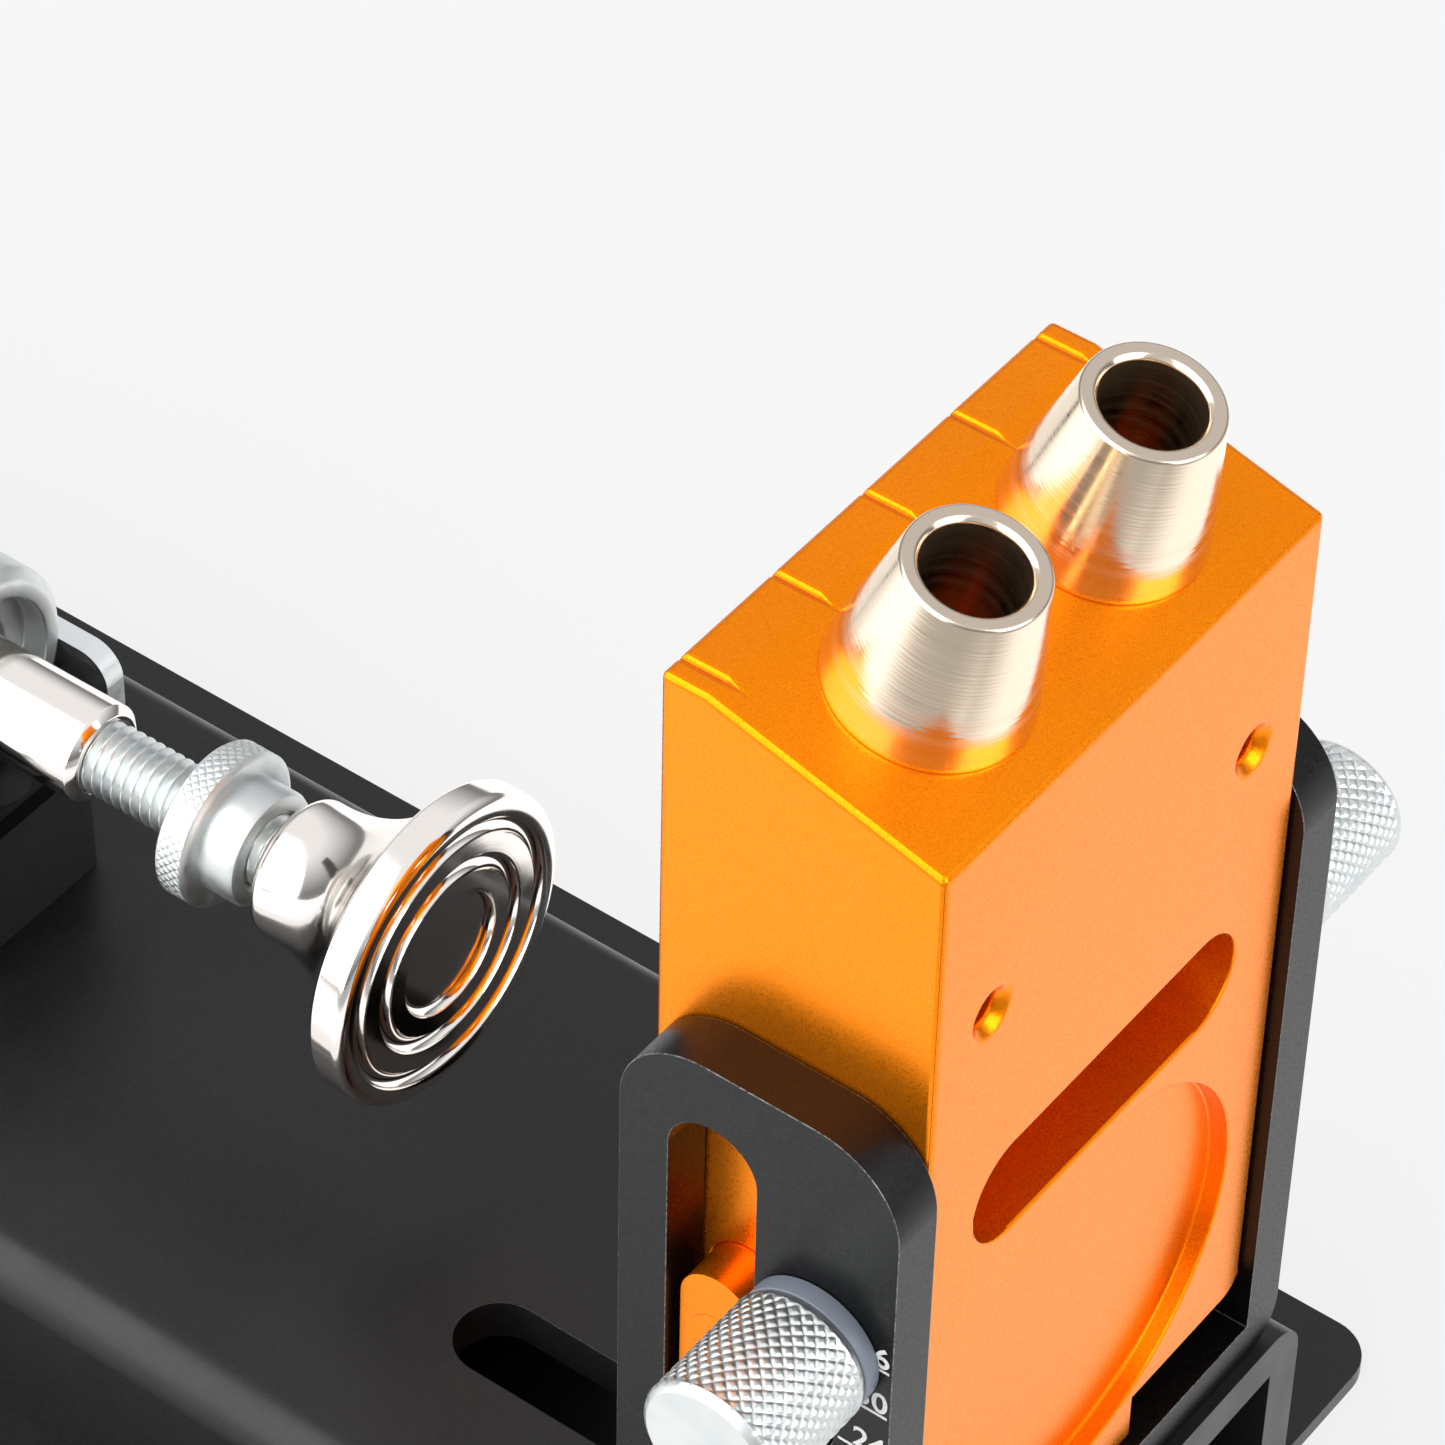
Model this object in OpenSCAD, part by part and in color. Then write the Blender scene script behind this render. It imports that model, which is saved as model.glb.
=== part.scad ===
// Pocket hole jig: a height-adjustable drill guide block in a slotted bracket, facing a push-pull toggle clamp.
// The origin is the middle of the base plate's underside. +X runs from the clamp to the block, +Z is up.

/* [Base plate] */
// Length of the base plate and of the rail on it
base_l = 240; // [200:1:320]
// Width of the base plate
base_w = 110; // [96:1:160]
// Thickness of the base plate
base_t = 2; // [1.8:0.1:5]
// Corner radius of the base plate
base_r = 5; // [1:0.5:8]
// Diameter of the bench fixing holes
bench_hole_d = 6.5; // [4:0.1:8]
// Distance between the bench fixing holes along the base
bench_hole_pitch = 158; // [120:1:180]
// Distance of the bench holes' middle from the base's middle, towards the clamp
bench_hole_shift = 21; // [5:1:30]

/* [Channel rail] */
// Width of the rail over its walls
rail_w = 74; // [70:1:84]
// Height of the rail
rail_h = 22; // [19:0.5:40]
// Wall thickness of the rail
rail_t = 5; // [4:0.5:6]
// Outer corner radius of the rail
rail_r = 5; // [1:0.5:8]
// Width of the two slots in the rail's top
rail_slot_w = 9.3; // [8.6:0.1:12]
// Length of the slots
rail_slot_l = 54; // [45:1:70]
// Distance between the two slots
rail_slot_pitch = 28; // [24:0.5:36]
// Distance from the slots' rear end to the rail's rear end
rail_slot_inset = 11; // [6:0.5:11]

/* [Block bracket] */
// Depth of the bracket along the base
bracket_d = 29.7; // [26:0.1:40]
// Thickness of the uprights
upright_t = 5.5; // [4:0.1:7]
// Thickness of the web under the block
web_t = 5; // [4:0.1:8]
// Height of the uprights above the rail
upright_h = 82; // [72:0.5:100]
// Radius of the uprights' top corners
upright_r = 9; // [2:0.5:12]
// Distance from the bracket's rear edge to the end of the base
bracket_inset = 1.2; // [0.5:0.1:10]
// Width of the key slot in each upright
key_slot_w = 9.5; // [9:0.1:12]
// Distance from the top of the upright to the top of the key slot
key_slot_top = 7.2; // [4:0.1:10]
// Distance from the block's front face to the middle of the key slot
key_x = 10.65; // [9:0.05:12]
// Diameter of the index holes
index_d = 4.5; // [3:0.1:5]
// Distance between index holes
index_pitch = 6; // [5.5:0.1:7]
// Number of index holes
index_count = 5; // [1:1:6]
// Distance from the block's front face to the index holes
index_x = 22.2; // [20:0.1:24]
// Distance from the top of the upright to the first index hole
index_top = 26; // [18:0.5:30]

/* [Drill block] */
// Width of the block between the uprights
block_w = 56; // [54:0.5:70]
// Depth of the block along the base
block_d = 29; // [27:0.5:36]
// Height of the block with its foot
block_h = 113; // [100:0.5:140]
// Distance from the block's rear face to the bracket's rear edge
block_setback = 1.3; // [0.5:0.1:3]
// Depth of the flat land along the front of the top
land_d = 4.8; // [3:0.1:8]
// Angle of the drill bores from the vertical
drill_angle = 15; // [12:0.5:18]
// Edge chamfer of the block
block_chamfer = 0.4; // [0.2:0.1:1]
// Width of the foot under the block
foot_w = 19.8; // [14:0.2:26]
// Height of the foot
foot_h = 5.7; // [3:0.1:8]
// Radius of the block's lower corners
block_low_r = 3; // [1:0.5:5]
// Distance between the marks on the land
mark_pitch = 12.7; // [10:0.1:13.4]
// Depth of the V marks
mark_depth = 0.45; // [0.2:0.05:0.8]
// Height of the chip slot in the rear face
chip_slot_h = 11.3; // [8:0.1:12]
// Length of the chip slot
chip_slot_l = 40.6; // [30:0.1:46]
// Depth of the chip slot from the rear face
chip_slot_d = 25; // [20:0.5:26]
// Distance from the block's top edge to the middle of the chip slot
chip_slot_z = 54.95; // [52:0.05:55]
// Radius of the round recess in the rear face
recess_r = 22.9; // [18:0.1:23]
// Depth of the round recess
recess_depth = 2; // [0.5:0.1:3]
// Distance from the block's top edge to the middle of the recess
recess_z = 84.8; // [84.5:0.1:88]
// Distance between the tapped holes in the rear face
tapped_pitch = 39.6; // [34:0.1:44]
// Distance from the block's top edge to the tapped holes
tapped_z = 28.75; // [24:0.05:34]
// Core diameter of the tapped holes
tapped_d = 3.3; // [2.5:0.1:4.2]
// Depth of the tapped holes
tapped_depth = 12; // [6:0.5:14]
// Diameter of the countersink at the tapped holes
tapped_sink_d = 5.5; // [4.5:0.1:7]

/* [Drill bushes] */
// Bore of the drill bushes
bush_bore_d = 9.5; // [6:0.1:10]
// Outside diameter at the mouth
bush_mouth_d = 13; // [12:0.1:15]
// Outside diameter on the block
bush_base_d = 18.9; // [16:0.1:22]
// Height of the bush above the block
bush_h = 15.7; // [10:0.1:20]
// Diameter of the shank in the block
bush_shank_d = 14; // [12:0.1:15]
// Length of the shank in the block
bush_shank_l = 22; // [12:0.5:26]
// Distance between the two bushes
bush_pitch = 25.4; // [22.5:0.1:26]
// Distance from the land to the bushes' middle, along the slope
bush_s = 11.8; // [10.5:0.1:12.5]

/* [Guide keys] */
// Width of the guide keys
key_w = 8; // [6:0.1:8.4]
// Length of the guide keys
key_l = 30; // [20:0.5:36]
// How far the keys stand out of the block's sides
key_proud = 4.6; // [3:0.1:5]
// Depth of the keys' pockets in the block
key_pocket = 2; // [1:0.1:3]
// Distance from the block's top edge to the keys' upper end
key_top = 64.2; // [62:0.1:70]

/* [Thumb screws] */
// Diameter of the knurled heads
thumb_d = 14; // [10:0.1:15]
// Length of the knurled heads
thumb_l = 14; // [8:0.1:20]
// Diameter of the washers under the heads
washer_d = 13.6; // [9:0.1:15]
// Thickness of those washers
washer_t = 2; // [1:0.1:3]

/* [Toggle clamp] */
// Height of the plunger's axis above the rail
axis_h = 32.3; // [30:0.1:40]
// Clear distance between the pad's face and the block
pad_gap = 45.5; // [42:0.5:55]
// Diameter of the pad
pad_d = 34; // [24:0.5:36]
// Length of the pad with its neck
pad_l = 20.2; // [18:0.1:26]
// Diameter of the pad's neck
pad_neck_d = 15; // [11:0.1:16]
// Thickness of the pad's rim
pad_rim_t = 3.9; // [2:0.1:5]
// Distance between the ring grooves in the pad's face
ring_pitch = 3.9; // [3:0.1:4]
// Diameter of the threaded spindle
spindle_d = 8; // [6:0.1:8.6]
// Distance from the pad's face to the front of the plunger
spindle_out = 44; // [42:0.5:60]
// Diameter of the lock nut's knurled ring
nut_d = 17; // [12:0.1:20]
// Length of the knurled ring
nut_l = 4; // [3:0.1:9]
// Diameter of the lock nut's hub
nut_hub_d = 12.6; // [10:0.1:14]
// Length of the hub
nut_hub_l = 4.4; // [2:0.1:6]
// Gap between the lock nut and the pad
nut_gap = 2.2; // [0.5:0.1:4]
// Diameter of the plunger
plunger_d = 10.9; // [10:0.1:12]
// How far the plunger stands out of the barrel
plunger_out = 16.5; // [9:0.5:20]
// Outside diameter of the guide barrel
barrel_d = 25.6; // [16:0.1:28]
// Length of the guide barrel
barrel_l = 28; // [20:0.5:34]
// Diameter of the recess in the barrel's front
barrel_mouth_d = 19.6; // [16:0.1:22]
// Depth of that recess
barrel_mouth = 3; // [1:0.1:5]
// Thickness of the saddle frame's sheet
frame_t = 2.5; // [2:0.1:3]
// How far the saddle's cheeks reach in front of the barrel
cheek_out = 5; // [4.5:0.5:8]
// Radius of the handle's crank
crank_r = 20; // [17:0.5:22]
// Half of the handle's swing
swing = 32; // [25:1:35]
// Length of the toggle links between their pins
link_l = 26; // [24:0.5:32]
// Thickness of the links and the handle's plates
link_t = 2.5; // [2:0.1:3]
// Length of the handle above its pivot
handle_l = 132; // [110:1:160]
// Length of the grip
grip_l = 84; // [60:1:90]

/* [Fits] */
// Radial gap of a fixed fit
fix_gap = 0.02; // [0.01:0.01:0.04]
// Radial gap of a running fit
run_gap = 0.05; // [0.02:0.01:0.1]
// Gap between flat pieces that move past each other
slide_gap = 0.3; // [0.2:0.05:0.5]

/* [Hidden] */
$fn = 64;

black = [0.07, 0.07, 0.07];
orange = [0.93, 0.50, 0.05];
zinc = [0.78, 0.80, 0.81];
nickel = [0.85, 0.82, 0.76];

// Overlap of a cutting tool past the face it leaves
cut = 1;
// How far a belt's straight sides lie inside its round ends' tangents
tuck = 0.05;

// Stations along X
x_end = base_l / 2;
bracket_rear = x_end - bracket_inset;
bracket_front = bracket_rear - bracket_d;
bracket_mid = bracket_rear - bracket_d / 2;
block_rear = bracket_rear - block_setback;
block_front = block_rear - block_d;
pad_x = block_front - pad_gap;
plunger_x = pad_x - spindle_out;
barrel_x = plunger_x - plunger_out;

// Levels along Z
z_rail = base_t + rail_h;
z_web = z_rail + web_t;
z_block = z_web + slide_gap;
z_top = z_block + block_h;
z_upright = z_rail + upright_h;
z_axis = z_rail + axis_h;
z_index = z_upright - index_top;

// Half widths along Y
upright_in = block_w / 2 + slide_gap;
upright_out = upright_in + upright_t;
cheek_in = barrel_d / 2 + 2 * run_gap;
cheek_out_y = cheek_in + frame_t;

// Screw sizes: shank diameter, head diameter, head height
rail_screw = [3, 5.7, 1.6];
key_screw = [3, 5.7, 1.6];
frame_screw = [4, 7.4, 1.7];
bracket_bolt = [8, 14.6, 5.3];
riser_bolt = [6, 11, 4];
bracket_washer = [18, 1.6];
rail_screw_l = 11;
key_screw_l = 13;
key_screw_pitch = key_l - 2 * key_w;
frame_screw_l = 10;
riser_bolt_grip = 10;

// The bush axis leaves the slope at this point of the block
bush_x = land_d + bush_s * cos(drill_angle);
bush_z = -bush_s * sin(drill_angle);
bore_l = block_h;

// Toggle linkage, in the clamp's own frame: X from the barrel's front, Z from the plunger's axis
plunger_flat = 8;
link_in = plunger_flat / 2 + 0.15;
link_out = link_in + link_t;
lever_in = link_out + 0.15;
lever_out = lever_in + link_t;
pin_d = 5;
pivot_d = 6;
eye_rise = crank_r * (1 - cos(swing)) / 2;
eye_slack = 0.4;
link_eye_r = 7.2;
link_tail_r = 6;
stroke = 2 * crank_r * sin(swing);
pin3 = [-barrel_l - link_eye_r - 0.8 - stroke, 0];
pin2 = [pin3[0] - link_l, -eye_rise];
pivot = [pin2[0] + crank_r * sin(swing), pin2[1] - crank_r * cos(swing)];
plunger_tail = 6;
spindle_bore = 26;
spindle_in = 16;
pad_socket = 12;
pivot_boss_r = 9.5;

// Saddle and riser
saddle_z = -barrel_d / 2 - 2 * run_gap - frame_t;
saddle_l = barrel_l + 10;
cheek_rise = -3.8;
cheek_r = 3.5;
bed_inset = 6;
bed_drop = 1;
riser_w = barrel_d;
riser_h = axis_h + saddle_z;
riser_front = cheek_out - 1.5;
riser_l = saddle_l + 6;
riser_r = 3;
frame_screw_x = [cheek_out - 4.2, -barrel_l - 5];
riser_bolt_inset = 15;
riser_bolt_x = [riser_front - riser_bolt_inset, riser_front - riser_l + riser_bolt_inset];

// Flat outline of two round ends joined by their outer tangents
module belt(a, ra, b, rb) {
    run = norm(b - a);
    turn = atan2(b[1] - a[1], b[0] - a[0]);
    lean = acos((ra - rb) / run);
    translate(a) circle(ra);
    translate(b) circle(rb);
    polygon([for (s = [lean, -lean]) a + (ra - tuck) * [cos(turn + s), sin(turn + s)],
             for (s = [-lean, lean]) b + (rb - tuck) * [cos(turn + s), sin(turn + s)]]);
}

// Flat outline of a slot that is centred on the origin and runs along X
module slot2d(length, width) {
    square([length - width, width], center = true);
    for (s = [-1, 1]) translate([s * (length - width) / 2, 0]) circle(d = width);
}

// Rectangle with round corners, centred on the origin
module round_rect(size, r) {
    square([size[0] - 2 * r, size[1]], center = true);
    square([size[0], size[1] - 2 * r], center = true);
    for (sx = [-1, 1], sy = [-1, 1]) translate([sx * (size[0] / 2 - r), sy * (size[1] / 2 - r)]) circle(r);
}

// Rectangle with cut corners, centred on the origin
module cut_rect(size, c) {
    w = size[0] / 2;
    h = size[1] / 2;
    polygon([[w - c, -h], [w, -h + c], [w, h - c], [w - c, h],
             [-w + c, h], [-w, h - c], [-w, -h + c], [-w + c, -h]]);
}

// A flat outline in X and Z, made a plate between two values of Y
module plate_y(y0, y1) {
    translate([0, y1, 0]) rotate([90, 0, 0]) linear_extrude(y1 - y0) children();
}

// A flat outline in Y and Z, drawn out along X
module along_x(x0, x1) {
    translate([x0, 0, 0]) rotate([90, 0, 90]) linear_extrude(x1 - x0) children();
}

// A round bar along X
module bar_x(x0, x1, r) {
    translate([x0, 0, 0]) rotate([0, 90, 0]) cylinder(r = r, h = x1 - x0);
}

// A profile of radius and height, turned about the X axis
module turned_x() {
    rotate([0, 90, 0]) rotate_extrude() children();
}

// A round pin along Y, through the point p in X and Z
module pin_y(p, r, half) {
    translate([p[0], half, p[1]]) rotate([90, 0, 0]) cylinder(r = r, h = 2 * half);
}

// Countersunk screw with its head's top at the origin, pointing down
module sunk_screw(size, length, gap = 0) {
    translate([0, 0, -size[2]]) cylinder(d1 = size[0] + 2 * gap, d2 = size[1] + 2 * gap, h = size[2]);
    translate([0, 0, -length]) cylinder(d = size[0] + 2 * gap, h = length);
}

// Hexagon bolt with the underside of its head at the origin, pointing up
module hex_bolt(size, length) {
    translate([0, 0, -size[2]]) cylinder(d = size[1], h = size[2], $fn = 6);
    cylinder(d = size[0], h = length);
}

module rail_screw_places() {
    for (sx = [-1, 0, 1], sy = [-1, 1]) translate([sx * (base_l / 2 - 18), sy * (rail_w - rail_t) / 2, 0])
        mirror([0, 0, 1]) children();
}

module at_block() {
    translate([block_front, 0, z_top]) children();
}

module at_bush(side) {
    at_block() translate([bush_x, side * bush_pitch / 2, bush_z]) rotate([0, drill_angle, 0]) children();
}

module at_clamp() {
    translate([barrel_x, 0, z_axis]) children();
}

module bracket_bolt_places() {
    for (s = [-1, 1]) translate([bracket_mid, s * rail_slot_pitch / 2, z_rail - rail_t]) children();
}

module riser_bolt_places() {
    for (x = riser_bolt_x) translate([barrel_x + x, 0, z_rail - rail_t]) children();
}

module frame_screw_places() {
    for (x = frame_screw_x) at_clamp() translate([x, 0, saddle_z + frame_t]) children();
}

module key_screw_places(side) {
    middle = -key_top - key_l / 2;
    for (s = [-1, 1])
        at_block() translate([key_x, side * (block_w / 2 + key_proud), middle + s * key_screw_pitch / 2])
            rotate([-side * 90, 0, 0]) children();
}

module base_plate() color(black) difference() {
    linear_extrude(base_t) difference() {
        round_rect([base_l, base_w], base_r);
        for (sx = [-1, 1], sy = [-1, 1])
            translate([sx * bench_hole_pitch / 2 - bench_hole_shift, sy * (base_w + rail_w) / 4])
                circle(d = bench_hole_d);
    }
    rail_screw_places() sunk_screw(rail_screw, rail_screw_l, fix_gap);
}

module rail_section() {
    difference() {
        union() {
            translate([-rail_w / 2, 0]) square([rail_w, rail_h - rail_r]);
            translate([-rail_w / 2 + rail_r, 0]) square([rail_w - 2 * rail_r, rail_h]);
            for (s = [-1, 1]) translate([s * (rail_w / 2 - rail_r), rail_h - rail_r]) circle(rail_r);
        }
        translate([-rail_w / 2 + rail_t, -cut]) square([rail_w - 2 * rail_t, rail_h - rail_t + cut]);
    }
}

module channel_rail() color(black) difference() {
    translate([0, 0, base_t]) along_x(-x_end, x_end) rail_section();
    for (s = [-1, 1])
        translate([x_end - rail_slot_inset - rail_slot_l / 2, s * rail_slot_pitch / 2, z_rail - rail_t - cut])
            linear_extrude(rail_t + 2 * cut) slot2d(rail_slot_l, rail_slot_w);
    riser_bolt_places() translate([0, 0, -cut]) cylinder(d = riser_bolt[0] + 2 * run_gap, h = rail_t + 2 * cut);
    rail_screw_places() sunk_screw(rail_screw, rail_screw_l + 1, fix_gap);
}

module rail_screws() color(zinc) rail_screw_places() sunk_screw(rail_screw, rail_screw_l);

module bracket_section() {
    r = rail_r;
    difference() {
        union() {
            translate([-upright_out, r]) square([2 * upright_out, upright_h - r]);
            translate([-upright_out + r, 0]) square([2 * (upright_out - r), upright_h]);
            for (s = [-1, 1]) translate([s * (upright_out - r), r]) circle(r);
        }
        translate([-upright_in, web_t]) square([2 * upright_in, upright_h]);
    }
}

// Side view of an upright: square at the foot, round at the two top corners
module upright_outline() {
    square([bracket_d, upright_h - upright_r]);
    translate([upright_r, 0]) square([bracket_d - 2 * upright_r, upright_h]);
    for (x = [upright_r, bracket_d - upright_r]) translate([x, upright_h - upright_r]) circle(upright_r);
}

module key_slot() {
    low = z_top - key_top - key_l - slide_gap - (key_slot_w - key_w) / 2;
    high = z_upright - key_slot_top;
    translate([block_front + key_x, (low + high) / 2]) rotate(90) slot2d(high - low, key_slot_w);
}

module block_bracket() color(black) difference() {
    intersection() {
        translate([0, 0, z_rail]) along_x(bracket_front, bracket_rear) bracket_section();
        translate([bracket_front, 0, z_rail]) plate_y(-upright_out, upright_out) upright_outline();
    }
    plate_y(-upright_out - cut, upright_out + cut) key_slot();
    for (i = [0:index_count - 1])
        pin_y([block_front + index_x, z_index - i * index_pitch], index_d / 2, upright_out + cut);
    bracket_bolt_places() cylinder(d = bracket_bolt[0] + 2 * fix_gap, h = rail_t + web_t + cut);
}

module bracket_bolts() color(zinc) bracket_bolt_places()
    translate([0, 0, -bracket_washer[1]])
        hex_bolt(bracket_bolt, bracket_washer[1] + rail_t + web_t - slide_gap);

module bracket_washers() color(zinc) bracket_bolt_places() translate([0, 0, -bracket_washer[1]]) difference() {
    cylinder(d = bracket_washer[0], h = bracket_washer[1]);
    translate([0, 0, -cut]) cylinder(d = bracket_bolt[0] + 2 * run_gap, h = bracket_washer[1] + 2 * cut);
}

// Side view of the block: land, slope and square foot, with small chamfers
module block_side() {
    c = block_chamfer;
    fall = tan(drill_angle);
    polygon([[c, -block_h], [0, -block_h + c], [0, -c], [c, 0], [land_d, 0],
             [block_d - c, -(block_d - c - land_d) * fall], [block_d, -(block_d - land_d) * fall - c],
             [block_d, -block_h + c], [block_d - c, -block_h]]);
}

// Front view of the block: round lower corners and a narrower foot
module block_front_view() {
    w = block_w / 2;
    low = -block_h + foot_h;
    translate([-w, low + block_low_r]) square([block_w, -low - block_low_r]);
    translate([-w + block_low_r, low]) square([block_w - 2 * block_low_r, -low]);
    for (s = [-1, 1]) translate([s * (w - block_low_r), low + block_low_r]) circle(block_low_r);
    translate([-foot_w / 2, -block_h]) square([foot_w, foot_h + cut]);
}

module edge_cut(length) {
    rotate([45, 0, 0]) translate([length / 2, 0, 0])
        cube([length, sqrt(2) * block_chamfer, sqrt(2) * block_chamfer], center = true);
}

module drill_block() color(orange) difference() {
    at_block() difference() {
        intersection() {
            plate_y(-block_w / 2, block_w / 2) block_side();
            along_x(0, block_d) block_front_view();
            translate([block_d / 2, 0, -block_h]) linear_extrude(block_h)
                cut_rect([block_d, block_w], block_chamfer);
        }
        for (s = [-1, 1]) {
            translate([-cut, s * block_w / 2, 0]) edge_cut(land_d + cut);
            translate([land_d, s * block_w / 2, 0]) rotate([0, drill_angle, 0]) edge_cut(block_d);
            translate([block_d, s * tapped_pitch / 2, -tapped_z]) rotate([0, -90, 0]) {
                translate([0, 0, -cut]) cylinder(d = tapped_d, h = tapped_depth + cut);
                translate([0, 0, -0.01])
                    cylinder(d1 = tapped_sink_d, d2 = tapped_d, h = (tapped_sink_d - tapped_d) / 2);
            }
        }
        along_x(block_d - recess_depth, block_d + cut) translate([0, -recess_z]) circle(recess_r);
        along_x(block_d - chip_slot_d, block_d + cut)
            translate([0, -chip_slot_z]) slot2d(chip_slot_l, chip_slot_h);
        for (i = [-2:2]) translate([-cut, i * mark_pitch, 0]) rotate([45, 0, 0])
            translate([land_d, 0, 0])
                cube([2 * land_d + 2 * cut, sqrt(2) * mark_depth, sqrt(2) * mark_depth], center = true);
        for (s = [-1, 1])
            plate_y(s * block_w / 2 - key_pocket, s * block_w / 2 + key_pocket)
                translate([key_x, -key_top - key_l / 2]) rotate(90)
                    slot2d(key_l + 2 * fix_gap, key_w + 2 * fix_gap);
    }
    for (s = [-1, 1]) {
        at_bush(s) {
            translate([0, 0, -bush_shank_l]) cylinder(d = bush_shank_d + 2 * fix_gap, h = bush_shank_l + cut);
            translate([0, 0, -bore_l]) cylinder(d = bush_bore_d + 2 * slide_gap, h = bore_l);
        }
        key_screw_places(s) sunk_screw(key_screw, key_screw_l, fix_gap);
    }
}

module drill_bush(side) color(nickel) at_bush(side) difference() {
    lip = 0.5;
    rotate_extrude() polygon([
        [0, -bush_shank_l], [bush_shank_d / 2 - lip, -bush_shank_l], [bush_shank_d / 2, -bush_shank_l + lip],
        [bush_shank_d / 2, 0], [bush_base_d / 2, 0], [bush_base_d / 2, lip], [bush_mouth_d / 2, bush_h - lip / 2],
        [bush_mouth_d / 2 - lip / 2, bush_h], [bush_bore_d / 2 + lip, bush_h], [bush_bore_d / 2, bush_h - lip],
        [0, bush_h - lip]]);
    translate([0, 0, -bush_shank_l - cut]) cylinder(d = bush_bore_d, h = bush_shank_l + bush_h + 2 * cut);
}

module drill_bush_near() drill_bush(-1);
module drill_bush_far() drill_bush(1);

module guide_key(side) color(orange) difference() {
    at_block() translate([key_x, 0, -key_top - key_l / 2])
        plate_y(side > 0 ? block_w / 2 - key_pocket : -block_w / 2 - key_proud,
                side > 0 ? block_w / 2 + key_proud : -block_w / 2 + key_pocket)
            rotate(90) slot2d(key_l, key_w);
    key_screw_places(side) sunk_screw(key_screw, key_screw_l, fix_gap);
}

module guide_key_near() guide_key(-1);
module guide_key_far() guide_key(1);

module key_screws() color(orange) for (s = [-1, 1]) key_screw_places(s) sunk_screw(key_screw, key_screw_l - 1);

// Thumb screw with its washer face at the origin, shank pointing up
module at_thumb(side) {
    translate([block_front + index_x, side * upright_out, z_index]) rotate([side * 90, 0, 0]) children();
}

module thumb_screw(side) color(zinc) at_thumb(side) {
    edge = 0.8;
    reach = upright_t + slide_gap - 0.1;
    rotate_extrude() polygon([[0, -washer_t - thumb_l], [thumb_d / 2 - edge, -washer_t - thumb_l],
        [thumb_d / 2, -washer_t - thumb_l + edge], [thumb_d / 2, -washer_t - edge],
        [thumb_d / 2 - edge, -washer_t], [index_d / 2 - run_gap, -washer_t],
        [index_d / 2 - run_gap, reach - edge], [index_d / 2 - edge, reach], [0, reach]]);
}

module thumb_screw_near() thumb_screw(-1);
module thumb_screw_far() thumb_screw(1);

module thumb_washer(side) color(zinc) at_thumb(side) translate([0, 0, -washer_t]) difference() {
    cylinder(d = washer_d, h = washer_t);
    translate([0, 0, -cut]) cylinder(d = index_d, h = washer_t + 2 * cut);
}

module thumb_washer_near() thumb_washer(-1);
module thumb_washer_far() thumb_washer(1);

module clamp_riser() color(black) difference() {
    translate([barrel_x + riser_front - riser_l / 2, 0, z_rail]) linear_extrude(riser_h)
        round_rect([riser_l, riser_w], riser_r);
    riser_bolt_places() cylinder(d = riser_bolt[0] + 2 * fix_gap, h = rail_t + riser_bolt_grip + cut);
    frame_screw_places() sunk_screw(frame_screw, frame_screw_l + 1, fix_gap);
}

module riser_bolts() color(zinc) riser_bolt_places() hex_bolt(riser_bolt, rail_t + riser_bolt_grip);

module saddle_section() {
    r = 2 * frame_t - 1;
    top = cheek_rise - saddle_z;
    difference() {
        union() {
            translate([-cheek_out_y, r]) square([2 * cheek_out_y, top - r]);
            translate([-cheek_out_y + r, 0]) square([2 * (cheek_out_y - r), top]);
            for (s = [-1, 1]) translate([s * (cheek_out_y - r), r]) circle(r);
        }
        translate([-cheek_in, frame_t]) square([2 * cheek_in, top]);
    }
}

// Side view of the saddle: round front corner over the plunger
module saddle_outline() {
    h = cheek_rise - saddle_z;
    translate([-saddle_l, saddle_z]) {
        square([saddle_l + cheek_out, h - cheek_r]);
        square([saddle_l + cheek_out - cheek_r, h]);
        translate([saddle_l + cheek_out - cheek_r, h - cheek_r]) circle(cheek_r);
    }
}

// Bed between the cheeks that the barrel lies in
module barrel_bed() {
    low = saddle_z + frame_t / 2;
    half = cheek_in + frame_t / 2;
    difference() {
        along_x(-barrel_l + bed_inset, -bed_inset)
            translate([-half, low]) square([2 * half, cheek_rise - bed_drop - low]);
        bar_x(-barrel_l, 0, barrel_d / 2 + fix_gap);
    }
}

module clamp_frame() color(zinc) at_clamp() difference() {
    union() {
        barrel_bed();
        intersection() {
            translate([0, 0, saddle_z]) along_x(-saddle_l, cheek_out) saddle_section();
            plate_y(-cheek_out_y, cheek_out_y) saddle_outline();
        }
        for (s = [-1, 1])
            plate_y(s > 0 ? cheek_in : -cheek_out_y, s > 0 ? cheek_out_y : -cheek_in)
                belt([-saddle_l, (cheek_rise + saddle_z) / 2], (cheek_rise - saddle_z) / 2, pivot, pivot_boss_r);
    }
    pin_y(pivot, pivot_d / 2 + fix_gap, cheek_out_y + cut);
    for (x = frame_screw_x)
        translate([x, 0, saddle_z + frame_t]) sunk_screw(frame_screw, frame_screw_l, fix_gap);
}

module frame_screws() color(zinc) frame_screw_places() sunk_screw(frame_screw, frame_screw_l);

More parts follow.
